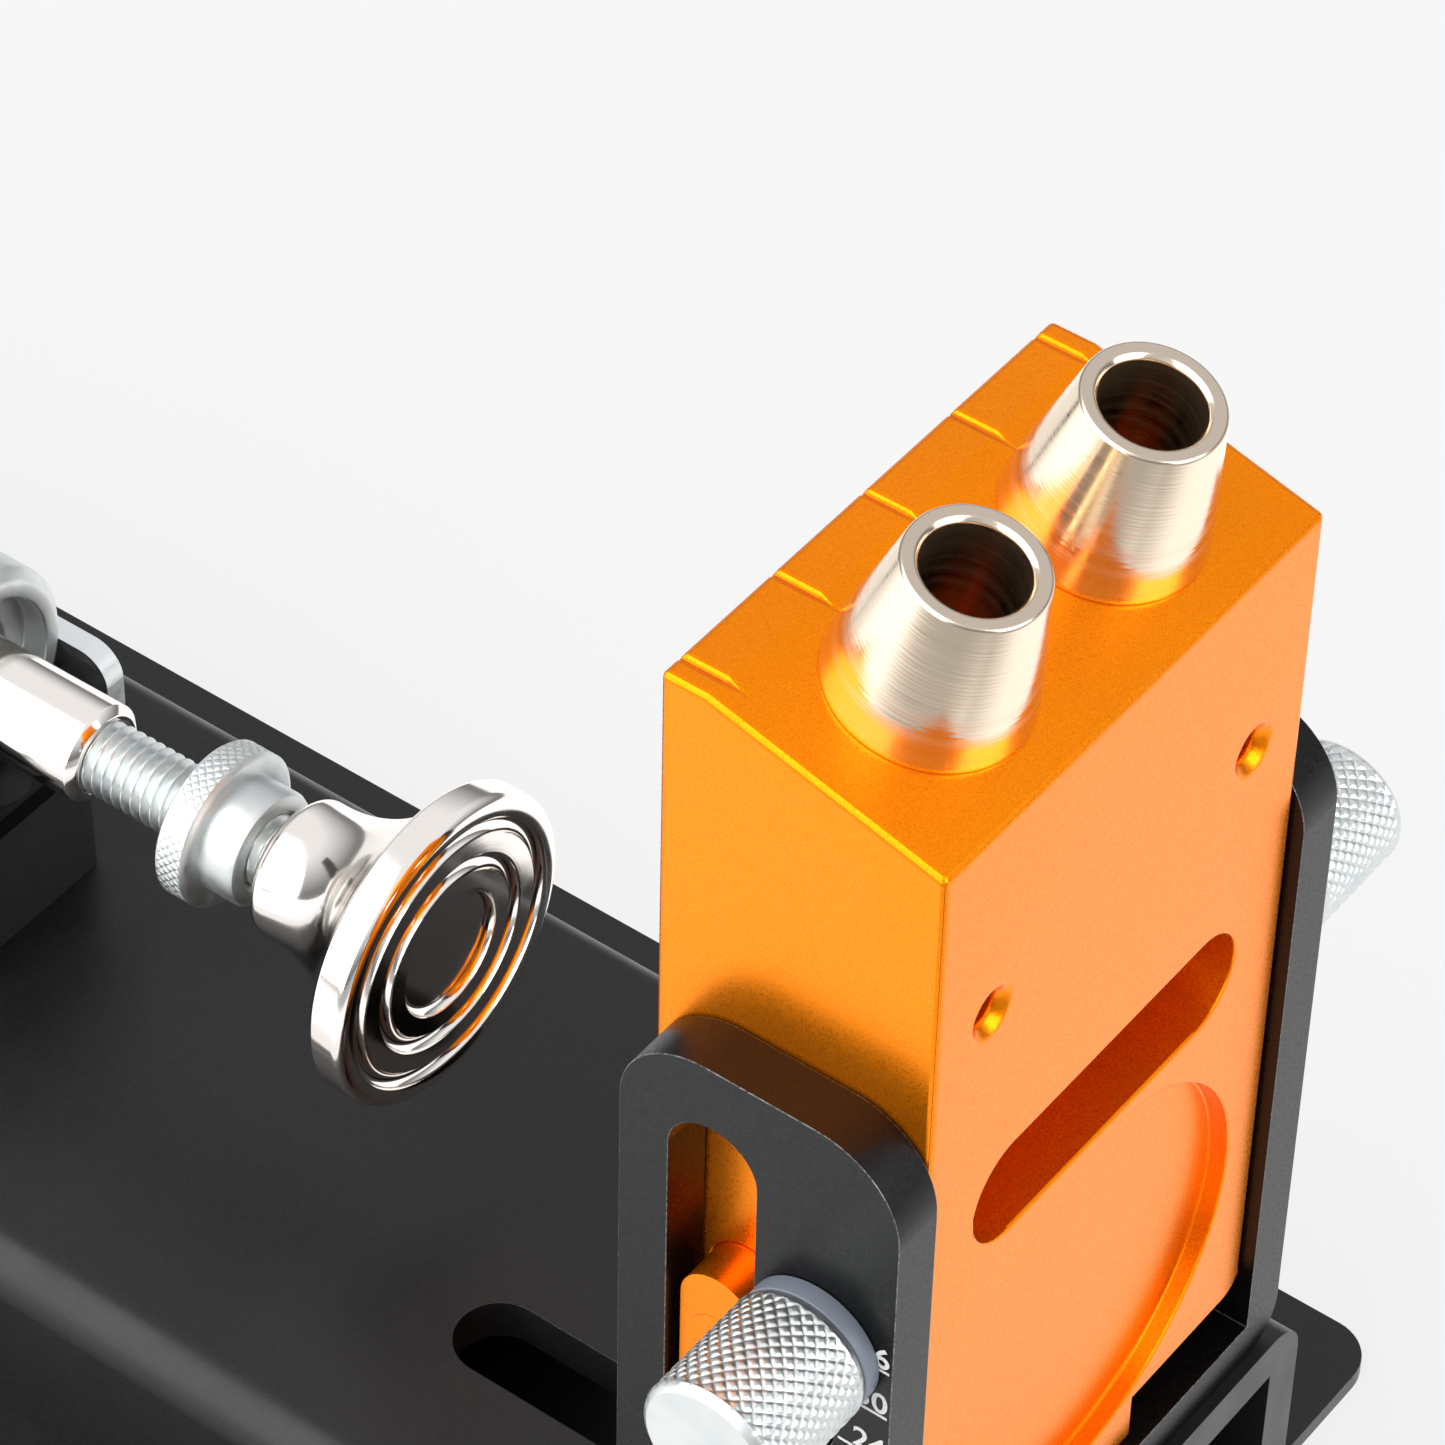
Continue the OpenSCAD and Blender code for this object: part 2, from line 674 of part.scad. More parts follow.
module guide_barrel() color(zinc) at_clamp() turned_x() difference() {
    rim = 1.2;
    bore = plunger_d / 2 + run_gap;
    mouth = min(barrel_mouth_d, barrel_d - 4 * rim) / 2;
    polygon([[0, -barrel_l], [barrel_d / 2 - rim, -barrel_l], [barrel_d / 2, -barrel_l + rim],
             [barrel_d / 2, -rim], [barrel_d / 2 - rim, 0], [0, 0]]);
    translate([0, -barrel_l - cut]) square([bore, barrel_l + 2 * cut]);
    translate([0, -barrel_mouth]) square([mouth, barrel_mouth + cut]);
    translate([0, -barrel_mouth - rim]) polygon([[0, 0], [bore, 0], [bore + rim, rim], [0, rim]]);
}

module plunger() color(nickel) at_clamp() difference() {
    turned_x() polygon([[0, pin3[0] - plunger_tail], [plunger_d / 2 - 1, pin3[0] - plunger_tail],
                        [plunger_d / 2, pin3[0] - plunger_tail + 1], [plunger_d / 2, plunger_out - 0.8],
                        [plunger_d / 2 - 0.8, plunger_out], [0, plunger_out]]);
    bar_x(plunger_out - spindle_bore, plunger_out + cut, spindle_d / 2);
    flat_l = plunger_tail + link_eye_r + 2;
    for (s = [-1, 1])
        translate([pin3[0] - plunger_tail + flat_l / 2, s * (plunger_flat + plunger_d) / 2, 0])
            cube([flat_l + 2 * cut, plunger_d, 2 * plunger_d], center = true);
    pin_y(pin3, pin_d / 2 + fix_gap, plunger_d);
}

module plunger_pin() color(zinc) at_clamp() {
    pin_y(pin3, pin_d / 2, link_out + 0.2);
    for (s = [-1, 1]) translate([0, s * (link_out + 0.2 + 0.6), 0]) pin_y(pin3, pin_d / 2 + 1, 0.6);
}

module toggle_link(side) color(zinc) at_clamp() difference() {
    plate_y(side > 0 ? link_in : -link_out, side > 0 ? link_out : -link_in)
        belt(pin2, link_tail_r, pin3 - [0, eye_rise], link_eye_r);
    pin_y(pin2, pin_d / 2 + run_gap, link_out + cut);
    plate_y(-link_out - cut, link_out + cut) translate(pin3 - [0, eye_rise]) rotate(90)
        slot2d(pin_d + 2 * (eye_rise + eye_slack), pin_d + 2 * eye_slack);
}

module toggle_link_near() toggle_link(-1);
module toggle_link_far() toggle_link(1);

module link_pin() color(zinc) at_clamp() pin_y(pin2, pin_d / 2, lever_out);

// The handle's own frame: the pivot at the origin, the lever standing up along Z
module at_handle() {
    at_clamp() translate([pivot[0], 0, pivot[1]]) rotate([0, -swing, 0]) children();
}

lever_top = handle_l - 14;
lever_top_r = 5.5;
spine = [3, handle_l - grip_l - 18];

module lever_outline() {
    belt([0, 0], pivot_boss_r - 1, [0, crank_r], pivot_boss_r - 1.5);
    belt([0, crank_r], pivot_boss_r - 1.5, [0, lever_top], lever_top_r);
}

module handle_lever() color(zinc) at_handle() difference() {
    union() {
        for (s = [-1, 1])
            plate_y(s > 0 ? lever_in : -lever_out, s > 0 ? lever_out : -lever_in) lever_outline();
        translate([-lever_top_r, -lever_out, spine[1]]) cube([spine[0], 2 * lever_out, lever_top - spine[1]]);
    }
    pin_y([0, 0], pivot_d / 2 + run_gap, lever_out + cut);
    pin_y([0, crank_r], pin_d / 2 + fix_gap, lever_out + cut);
}

// Pivot pin with a head at each end and a collar on each side of the handle
module handle_pivot() color(zinc) at_clamp() {
    pin_y(pivot, pivot_d / 2, cheek_out_y);
    for (s = [-1, 1]) {
        translate([0, s * (cheek_out_y + 0.8), 0]) pin_y(pivot, pivot_d / 2 + 2, 0.8);
        translate([0, s * (cheek_in + lever_out + slide_gap) / 2, 0])
            pin_y(pivot, pivot_d / 2 + 2, (cheek_in - lever_out - slide_gap) / 2);
    }
}

// Moulded grip: rounded all over, a little thicker towards its top
module grip_form() {
    hull() for (sx = [-1, 1], sy = [-1, 1]) {
        translate([sx * 4, sy * 5.5, handle_l - grip_l]) cylinder(r = 6, h = 1, $fn = 32);
        translate([sx * 5.5, sy * 6.5, handle_l - 8]) sphere(7.5, $fn = 32);
    }
}

module handle_grip() color(black) at_handle() difference() {
    grip_form();
    near = lever_in - run_gap;
    far = lever_out + run_gap;
    for (s = [-1, 1])
        plate_y(s > 0 ? near : -far, s > 0 ? far : -near)
            belt([0, crank_r], pivot_boss_r - 1.5 + run_gap, [0, lever_top], lever_top_r + run_gap);
    translate([-lever_top_r - run_gap, -lever_out - run_gap, spine[1]])
        cube([spine[0] + 2 * run_gap, 2 * (lever_out + run_gap), lever_top - spine[1] + run_gap]);
}

module spindle() color(zinc) translate([0, 0, z_axis]) {
    bar_x(plunger_x - spindle_in, pad_x - pad_l + pad_socket - run_gap, spindle_d / 2 - run_gap);
}

module lock_nut() color(zinc) translate([pad_x - pad_l - nut_gap, 0, z_axis]) turned_x() {
    edge = 0.8;
    back = -nut_hub_l - nut_l;
    difference() {
        polygon([[0, back], [nut_d / 2 - edge, back], [nut_d / 2, back + edge], [nut_d / 2, -nut_hub_l - edge],
                 [nut_d / 2 - edge, -nut_hub_l], [nut_hub_d / 2, -nut_hub_l], [nut_hub_d / 2, -edge],
                 [nut_hub_d / 2 - edge, 0], [0, 0]]);
        translate([0, back - cut]) square([spindle_d / 2, nut_hub_l + nut_l + 2 * cut]);
    }
}

ring_r = 0.95;
ring_edge = 3.1;
ring_count = 3;

// Half section of the pad: neck, hollow flare, rim, ring grooves in its face and a shallow well in the middle.
// The flare is one arc that leaves the neck along it and ends at the back of the rim.
module pad_section() {
    neck = pad_neck_d / 2;
    rim = pad_d / 2;
    back = pad_l - pad_rim_t;
    soft = 1.2;
    start = 2 * soft;
    width = rim - neck;
    length = back - start;
    flare_r = (width * width + length * length) / (2 * width);
    well = rim - ring_edge - (ring_count - 1) * ring_pitch;
    difference() {
        union() {
            polygon([[0, 0], [neck - soft, 0], [neck, soft], [neck, back], [0, back]]);
            difference() {
                translate([neck - tuck, start]) square([width + tuck, length]);
                translate([neck + flare_r, start]) circle(flare_r);
            }
            translate([0, back - tuck]) square([rim, pad_rim_t + tuck - soft]);
            translate([0, pad_l - soft - tuck]) square([rim - soft, soft + tuck]);
            translate([rim - soft, pad_l - soft]) circle(soft);
        }
        translate([-cut, -cut]) square([spindle_d / 2 + cut, pad_socket + cut]);
        for (i = [0:ring_count - 1]) translate([rim - ring_edge - i * ring_pitch, pad_l]) circle(ring_r);
        translate([-cut, pad_l - ring_r]) square([well + cut, ring_r + cut]);
    }
}

module clamp_pad() color(nickel) translate([pad_x - pad_l, 0, z_axis]) turned_x() pad_section();

base_plate();
channel_rail();
rail_screws();
block_bracket();
bracket_bolts();
bracket_washers();
drill_block();
drill_bush_near();
drill_bush_far();
guide_key_near();
guide_key_far();
key_screws();
thumb_screw_near();
thumb_screw_far();
thumb_washer_near();
thumb_washer_far();
clamp_riser();
riser_bolts();
clamp_frame();
frame_screws();
guide_barrel();
plunger();
plunger_pin();
toggle_link_near();
toggle_link_far();
link_pin();
handle_lever();
handle_pivot();
handle_grip();
spindle();
lock_nut();
clamp_pad();
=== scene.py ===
import math

import bpy
import numpy as np
from mathutils import Matrix, Vector


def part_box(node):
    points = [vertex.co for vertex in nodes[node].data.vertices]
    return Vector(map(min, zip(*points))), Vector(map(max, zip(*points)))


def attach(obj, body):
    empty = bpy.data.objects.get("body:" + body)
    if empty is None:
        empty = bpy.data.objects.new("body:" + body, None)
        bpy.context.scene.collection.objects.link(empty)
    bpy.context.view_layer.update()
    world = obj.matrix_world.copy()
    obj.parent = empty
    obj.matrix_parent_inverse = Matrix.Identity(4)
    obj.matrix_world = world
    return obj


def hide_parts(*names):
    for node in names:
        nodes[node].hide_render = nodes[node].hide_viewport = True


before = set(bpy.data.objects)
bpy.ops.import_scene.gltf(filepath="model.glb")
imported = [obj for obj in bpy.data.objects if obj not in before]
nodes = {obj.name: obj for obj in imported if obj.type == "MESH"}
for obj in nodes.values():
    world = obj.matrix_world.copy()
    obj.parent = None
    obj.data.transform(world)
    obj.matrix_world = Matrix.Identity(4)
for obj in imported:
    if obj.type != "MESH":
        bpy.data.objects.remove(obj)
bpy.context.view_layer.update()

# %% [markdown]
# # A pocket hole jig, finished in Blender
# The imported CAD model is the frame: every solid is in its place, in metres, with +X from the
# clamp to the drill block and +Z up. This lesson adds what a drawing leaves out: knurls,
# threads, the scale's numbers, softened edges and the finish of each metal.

MM = 0.001

# %% [markdown]
# ## From arrays to meshes
# A turned piece is a profile carried round an axis. Blender's Screw modifier can do that, but a
# grid of points worked out with numpy lets the surface carry a knurl or a thread as well: the
# radius is then a function of the angle and of the place along the profile. All sizes below are
# in millimetres and become metres when a piece is carried to its place.

# %% A mesh at the origin
SHARP_ANGLE = math.radians(32)


def make_piece(name, points, faces):
    """Puts rows of points and blocks of face index rows into a new mesh object at the origin.
    It is shaded smooth, apart from edges over SHARP_ANGLE."""
    mesh = bpy.data.meshes.new(name)
    mesh.from_pydata(points.tolist(), [], [face for block in faces for face in block.tolist()])
    mesh.validate()
    mesh.shade_smooth()
    mesh.set_sharp_from_angle(angle=SHARP_ANGLE)
    piece = bpy.data.objects.new(name, mesh)
    bpy.context.scene.collection.objects.link(piece)
    return piece


print("edges over", round(math.degrees(SHARP_ANGLE)), "degrees stay sharp")

# %% A place along an axis
def axis_frame(origin, along, across):
    """A 4x4 whose Z runs along the turned piece's axis and whose X runs across it."""
    z = Vector(along).normalized()
    y = z.cross(Vector(across)).normalized()
    return Matrix.Translation(origin) @ Matrix((y.cross(z), y, z)).transposed().to_4x4()


def carry(local, place):
    """Rows of local points, turned and moved by the 4x4 place."""
    m = np.array(place)
    return local @ m[:3, :3].T + m[:3, 3]


local_up = np.array([[0.0, 0.0, 1.0]])
print("up, in a frame along X:", carry(local_up, axis_frame((0, 0, 0), (1, 0, 0), (0, 1, 0))).tolist())

# %% Profiles with eased corners
MOST_OF_A_SIDE = 0.45


def eased(profile, radius, steps=4, closed=False):
    """Rounds each corner p of a profile with the curve (1 - t)^2 a + 2 t (1 - t) p + t^2 b. Its ends
    a and b lie radius away from p, or MOST_OF_A_SIDE of the shorter side if that is less."""
    p = np.asarray(profile, float)
    before = np.roll(p, 1, 0) - p
    after = np.roll(p, -1, 0) - p
    length_before = np.linalg.norm(before, axis=1)[:, None]
    length_after = np.linalg.norm(after, axis=1)[:, None]
    reach = np.minimum(np.minimum(length_before, length_after) * MOST_OF_A_SIDE, radius)
    start = p + before / length_before * reach
    end = p + after / length_after * reach
    t = np.linspace(0, 1, steps)[None, :, None]
    curve = (1 - t) ** 2 * start[:, None] + 2 * t * (1 - t) * p[:, None] + t ** 2 * end[:, None]
    if closed:
        return curve.reshape(-1, 2)
    return np.concatenate([p[:1], curve[1:-1].reshape(-1, 2), p[-1:]])


triangle = [(0, 0), (1, 0), (0, 1)]
print("a triangle with eased corners has", len(eased(triangle, 0.1, closed=True)), "points")

# %% Turning
def turned(name, profile, place, sides, closed=False, relief=None):
    """Carries rows of (radius, height) round the Z axis of place: x = r cos a, y = r sin a, z = height.
    relief(a, height) is added to the radius. An open profile starts and ends on the axis."""
    p = np.asarray(profile, float)
    rows = p if closed else p[1:-1]
    a = np.linspace(0, 2 * math.pi, sides, endpoint=False)
    angle, radius = np.meshgrid(a, rows[:, 0])
    height = np.repeat(rows[:, 1:], sides, 1)
    if relief is not None:
        radius = radius + relief(angle, height)
    local = np.stack([radius * np.cos(angle), radius * np.sin(angle), height], -1).reshape(-1, 3)
    index = np.arange(len(rows) * sides).reshape(len(rows), sides)
    lower = index if closed else index[:-1]
    upper = np.roll(index, -1, 0) if closed else index[1:]
    quads = np.stack([lower, np.roll(lower, -1, 1), np.roll(upper, -1, 1), upper], -1)
    faces = [quads.reshape(-1, 4)]
    if not closed:
        first, last = index[0], index[-1]
        foot = np.full(sides, len(local))
        local = np.concatenate([local, [[0, 0, p[0, 1]], [0, 0, p[-1, 1]]]])
        faces.append(np.stack([foot, np.roll(first, -1), first], -1))
        faces.append(np.stack([foot + 1, last, np.roll(last, -1)], -1))
    piece = make_piece(name, carry(local * MM, place), faces)
    print(name, len(piece.data.polygons), "faces")
    return piece


# %% Riding on a body
def fit(piece, body, slot, *stands_for):
    """The piece moves with a body and stands for CAD nodes, which are hidden. slot is not used."""
    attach(piece, body)
    if stands_for:
        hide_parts(*stands_for)


# %% [markdown]
# ## The drill bushes
# Each bush is a steel cone with a shank pressed into the block. It could stay the CAD solid, but
# polished metal shows every facet, so it is turned again with many sides and eased edges. Its place
# comes from the CAD bush's box, so the new piece lies exactly where the old one was.

# %% Drill bushes
SIDES = {"near": -1, "far": 1}
DRILL_ANGLE = math.radians(15)
LEAN, RISE = math.sin(DRILL_ANGLE), math.cos(DRILL_ANGLE)
BUSH = {"bore": 4.75, "mouth": 6.5, "foot": 9.45, "shank": 7, "height": 15.7, "depth": 22, "lip": 0.5,
        "round": 0.22, "sides": 160}


def bush_profile():
    """A closed loop: up the shank, out along the foot, up the cone and over the mouth into the bore."""
    bore, mouth, foot, shank = (BUSH[key] for key in ("bore", "mouth", "foot", "shank"))
    top, bottom, lip = BUSH["height"], -BUSH["depth"], BUSH["lip"]
    outside = [(bore, bottom), (shank - lip, bottom), (shank, bottom + lip), (shank, 0), (foot, 0),
               (foot, lip)]
    over = [(mouth, top - lip / 2), (mouth - lip / 2, top), (bore + lip, top), (bore, top - lip)]
    return eased(outside + over, BUSH["round"], closed=True)


def bush_place(node):
    """The mouth's edge is the highest point of the CAD bush's box and the upper edge of the shank's
    chamfer is its lowest X, so the middle of the foot on the slope follows from those two."""
    low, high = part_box(node)
    mouth = BUSH["mouth"] - BUSH["lip"] / 2
    foot_z = high.z - (BUSH["height"] * RISE + mouth * LEAN) * MM
    foot_x = low.x + (BUSH["shank"] * RISE + (BUSH["depth"] - BUSH["lip"]) * LEAN) * MM
    return axis_frame((foot_x, (low.y + high.y) / 2, foot_z), (LEAN, 0, RISE), (RISE, 0, -LEAN))


bushes = {}
for side in SIDES:
    node = "drill_bush_" + side
    bushes[side] = turned(node + "_turned", bush_profile(), bush_place(node), BUSH["sides"], closed=True)
    fit(bushes[side], "block", "nickel_steel", node)
    print(node, [round(v / MM, 2) for v in bush_place(node).translation])

# %% [markdown]
# ## A diamond knurl
# A knurling tool rolls two sets of slanting grooves into the metal, one left-handed and one
# right-handed. Where they cross, small pyramids are left standing. The same can be painted as
# bump, but then the outline stays smooth, so here the radius itself goes up and down.

# %% Knurl
def knurl(low, high, count, lead, depth, fade):
    """Relief of crossing grooves: each wave is a triangle of (count a / 2 pi +- height / lead). The
    lower of the two, doubled and cut off at 1, is the pyramids' height. It fades out at both ends."""
    def relief(angle, height):
        turns = count * angle / (2 * math.pi)
        waves = [1 - np.abs(2 * np.mod(turns + hand * height / lead, 1) - 1) for hand in (-1, 1)]
        pyramid = np.minimum(np.minimum(*waves) * 2, 1)
        near_end = np.clip(np.minimum(height - low, high - height) / fade, 0, 1)
        return depth * (pyramid - 1) * near_end
    return relief


def knurled_side(radius, low, high, rings):
    """Rows of one radius, close enough together to carry a knurl."""
    heights = np.linspace(low, high, rings)
    return np.stack([np.full_like(heights, radius), heights], 1)


sample = knurl(low=0, high=8, count=30, lead=1, depth=0.2, fade=1)
print("where two grooves cross, the radius changes by", sample(np.zeros(1), np.array([4])), "mm")

# %% Thumb screws
KNOB = {"r": 7, "length": 14, "edge": 0.8, "washer": 2, "shank": 2.2, "reach": 5.7, "tip": 0.6,
        "dish": 0.08, "rings": 92, "sides": 336}
KNOB_INNER = [(0.75, 0), (0.3, 0.15)]
KNOB_OUTER = [(0.25, 0.3), (0.7, 0), (1.1, 0)]
KNOB_KNURL = {"count": 30, "lead": 1.5, "depth": 0.2, "fade": 0.6}


def rim(radius, end, steps, inwards):
    """Corners of a turned rim: a step is (distance in from the radius, distance in from the end)."""
    return [(radius - cut, end + inwards * drop) for cut, drop in steps]


def upright_place(node, out, inwards):
    """A frame on a thumb screw's axis that points away from the block. Its origin lies a length
    inwards from the outer end of the node's box."""
    low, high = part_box(node)
    middle = (low + high) / 2
    outer = low.y if out < 0 else high.y
    return axis_frame((middle.x, outer - out * inwards * MM, middle.z), (0, out, 0), (1, 0, 0))


def knob_profile():
    """Rows from the shank's tip, over the washer face and the knurled side, to the dished outer end."""
    r, length, edge, shank = (KNOB[key] for key in ("r", "length", "edge", "shank"))
    tip = -KNOB["washer"] - KNOB["reach"]
    stem = [(0, tip), (shank - KNOB["tip"], tip), (shank, tip + KNOB["tip"]), (shank, 0)]
    side = knurled_side(r, edge, length - edge, KNOB["rings"])
    end = [*rim(r, length, KNOB_OUTER, -1), (0, length - KNOB["dish"])]
    return np.concatenate([stem, rim(r, 0, KNOB_INNER, 1), side, end])


knob_relief = knurl(KNOB["edge"], KNOB["length"] - KNOB["edge"], **KNOB_KNURL)
knobs = {}
for side, out in SIDES.items():
    node = "thumb_screw_" + side
    place = upright_place(node, out, KNOB["length"])
    knobs[side] = turned(node + "_knurled", knob_profile(), place, KNOB["sides"], relief=knob_relief)
    fit(knobs[side], "thumb_" + side, "zinc_steel", node)

# %% Lock nut
NUT = {"r": 8.5, "ring": 4, "hub_r": 6.3, "hub": 4.4, "bore": 4, "edge": 0.5, "mouth": 0.5,
       "rings": 40, "sides": 336}
RING_RIM = [(0.8, 0), (0.3, 0.2)]
HUB_RIM = [(0, 0.8), (0.25, 0.25), (0.8, 0)]
NUT_KNURL = {"count": 48, "lead": 1.1, "depth": 0.16, "fade": 0.3}


def axle_place(node):
    """A frame on the clamp's axis at the low end of a node's box, pointing along +X."""
    low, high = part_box(node)
    middle = (low + high) / 2
    return axis_frame((low.x, middle.y, middle.z), (1, 0, 0), (0, 1, 0))


def nut_profile():
    """A closed loop: bore, back face, knurled ring, shoulder, hub and front face."""
    r, ring, hub_r, bore, mouth = (NUT[key] for key in ("r", "ring", "hub_r", "bore", "mouth"))
    total = ring + NUT["hub"]
    back = [(bore, mouth), (bore + mouth, 0), *rim(r, 0, RING_RIM, 1)]
    side = knurled_side(r, NUT["edge"], ring - NUT["edge"], NUT["rings"])
    shoulder = [*rim(r, ring, RING_RIM[::-1], -1), (hub_r, ring)]
    hub = [*rim(hub_r, total, HUB_RIM, -1), (bore + mouth, total), (bore, total - mouth)]
    return np.concatenate([back, side, shoulder, hub])


nut_relief = knurl(NUT["edge"], NUT["ring"] - NUT["edge"], **NUT_KNURL)
nut = turned("lock_nut_knurled", nut_profile(), axle_place("lock_nut"), NUT["sides"], closed=True,
             relief=nut_relief)
fit(nut, "nut", "zinc_steel", "lock_nut")

# %% [markdown]
# ## The threaded spindle
# A thread is a groove that climbs one pitch in each turn. A helix curve with a triangular bevel
# would do, but its ends and its core would need joining, so the whole rod is one grid: the
# radius falls where height / pitch minus the turn is near a whole number.

# %% Spindle
SPINDLE = {"r": 3.95, "pitch": 1.25, "depth": 0.72, "flank": 1.4, "lead_in": 0.9, "turned_down": 0.5,
           "cut": 0.02, "rows_per_turn": 10, "sides": 56}


def thread(angle, height):
    """Relief of an outside thread: a triangle wave of (height / pitch - angle / 2 pi), made steeper
    by flank, so that it is flat at crest and root."""
    wave = np.abs(2 * np.mod(height / SPINDLE["pitch"] - angle / (2 * math.pi), 1) - 1)
    flank = SPINDLE["flank"]
    return -SPINDLE["depth"] * np.clip(wave * flank - (flank - 1) / 2, 0, 1)


def spindle_profile(length):
    """Rows from one cut end to the other; each end is turned down a little so the thread runs out."""
    count = int(length / SPINDLE["pitch"] * SPINDLE["rows_per_turn"])
    rows = np.linspace(SPINDLE["cut"], length - SPINDLE["cut"], count)
    lead = np.clip(np.minimum(rows, length - rows) / SPINDLE["lead_in"], 0, 1)
    side = np.stack([SPINDLE["r"] - SPINDLE["turned_down"] * (1 - lead), rows], 1)
    return np.concatenate([[(0, 0)], side, [(0, length)]])


spindle_low, spindle_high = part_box("spindle")
spindle_length = (spindle_high.x - spindle_low.x) / MM
spindle = turned("spindle_threaded", spindle_profile(spindle_length), axle_place("spindle"),
                 SPINDLE["sides"], relief=thread)
fit(spindle, "spindle", "zinc_steel", "spindle")

# %% [markdown]
# ## The pad, the barrel and the washers
# The pad presses the board against the block. It is a bell whose hollow flare is one arc, with ring
# grooves in its face. A few points and a Subdivision modifier would give a bell too, but a mirror
# finish shows every unevenness of such a curve, so the arcs are computed. The barrel guides the
# plunger, and the washers lie under the thumb screws. Both are plain loops, turned the same way.

# %% Pad
PAD = {"r": 17, "neck": 7.5, "length": 20.2, "rim": 3.9, "socket_r": 4, "socket": 12, "soft": 1.2,
       "round": 0.5, "lip": 0.4, "seam": 0.05, "groove": 0.95, "step": 3.9, "first": 3.1, "count": 3,
       "sides": 192}
GROOVE_START, GROOVE_END = -8, -172
LIP_START = -40


def arc(centre, radius, start, end, points):
    """Points of a circle from one angle to another, in degrees."""
    a = np.radians(np.linspace(start, end, points))
    return np.stack([centre[0] + radius * np.cos(a), centre[1] + radius * np.sin(a)], 1)


def pad_profile():
    """Socket, neck, hollow flare, rim and, across the face, half-round grooves and a shallow well.
    The flare's arc leaves the neck along it, so its radius is (width^2 + length^2) / (2 width)."""
    r, neck, face, soft, lip = (PAD[key] for key in ("r", "neck", "length", "soft", "lip"))
    socket, socket_r, groove = PAD["socket"], PAD["socket_r"], PAD["groove"]
    start, back = 2 * soft, face - PAD["rim"]
    width, rise = r - neck, back - start
    flare = (width ** 2 + rise ** 2) / (2 * width)
    sweep = math.degrees(math.asin(rise / flare))
    shank = eased([(0, socket), (socket_r, socket), (socket_r, 0), (neck - soft, 0), (neck, soft),
                   (neck, start - PAD["seam"])], PAD["round"], steps=6)
    bell = arc((neck + flare, start), flare, 180, 180 - sweep, points=48)
    back_edge = arc((r - lip, back + lip), lip, LIP_START, 0, points=6)
    front_edge = arc((r - soft, face - soft), soft, 0, 90, points=12)
    rings = r - PAD["first"] - PAD["step"] * np.arange(PAD["count"])
    grooves = [arc((ring, face), groove, GROOVE_START, GROOVE_END, points=18) for ring in rings[:-1]]
    well = arc((rings[-1], face), groove, GROOVE_START, -90, points=12)
    middle = [(0, face - groove)]
    return np.concatenate([shank[:-1], bell[:-1], back_edge, front_edge, *grooves, well, middle])


pad = turned("clamp_pad_turned", pad_profile(), axle_place("clamp_pad"), PAD["sides"])
fit(pad, "pad", "chrome_steel", "clamp_pad")

# %% Barrel
BARREL = {"r": 12.8, "bore": 5.5, "mouth": 9.8, "mouth_depth": 3, "length": 28, "edge": 1.2,
          "round": 0.4, "sides": 160}


def barrel_profile():
    """A closed loop: back face, outside, front face, the wide mouth and the bore behind it."""
    r, bore, mouth, length, edge = (BARREL[key] for key in ("r", "bore", "mouth", "length", "edge"))
    step = length - BARREL["mouth_depth"]
    outside = [(bore, 0), (r - edge, 0), (r, edge), (r, length - edge), (r - edge, length)]
    inside = [(mouth, length), (mouth, step), (bore + edge, step), (bore, step - edge)]
    return eased(outside + inside, BARREL["round"], closed=True)


barrel = turned("guide_barrel_turned", barrel_profile(), axle_place("guide_barrel"), BARREL["sides"],
                closed=True)
fit(barrel, "base", "zinc_steel", "guide_barrel")

# %% Washers
WASHER = {"r": 6.8, "bore": 2.25, "thick": 2, "round": 0.25, "sides": 128}


def washer_profile():
    """A closed loop round the washer's section."""
    r, bore, thick = WASHER["r"], WASHER["bore"], WASHER["thick"]
    return eased([(bore, 0), (r, 0), (r, thick), (bore, thick)], WASHER["round"], closed=True)


washers = {}
for side, out in SIDES.items():
    node = "thumb_washer_" + side
    place = upright_place(node, out, WASHER["thick"])
    washers[side] = turned(node + "_turned", washer_profile(), place, WASHER["sides"], closed=True)
    fit(washers[side], "thumb_" + side, "zinc_steel", node)

# %% [markdown]
# ## The scale on the uprights
# A pale line and a number stand beside each index hole, so that the block can be set to the
# board's thickness. They are printed on the real bracket. Here they are thin mesh plates a few
# hundredths of a millimetre proud, which hold their shape in an exported model. The lines lie a
# little above the middles of the holes, so that the heads of the screws hide as much of them as in
# the photograph.

# %% Levels of the scale
SCALE = {"first": 36, "step": 6, "count": 5, "below_top": 26, "lift": 0.6, "pitch": 6, "proud": 0.03}
LINE = {"length": 5, "thick": 0.32, "inset": 0.35}
DIGIT = {"height": 2.5, "gap": 0.4, "inset": 0.3, "bold": 0.015, "half_depth": 0.5, "resolution": 6}
bracket_low, bracket_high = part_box("block_bracket")
top_level = bracket_high.z / MM - SCALE["below_top"] + SCALE["lift"]
levels = top_level - SCALE["pitch"] * np.arange(SCALE["count"])
print("scale lines at", [round(float(level), 2) for level in levels], "mm")


def outer_face(out):
    """Y of an upright's outer face."""
    return bracket_low.y if out < 0 else bracket_high.y


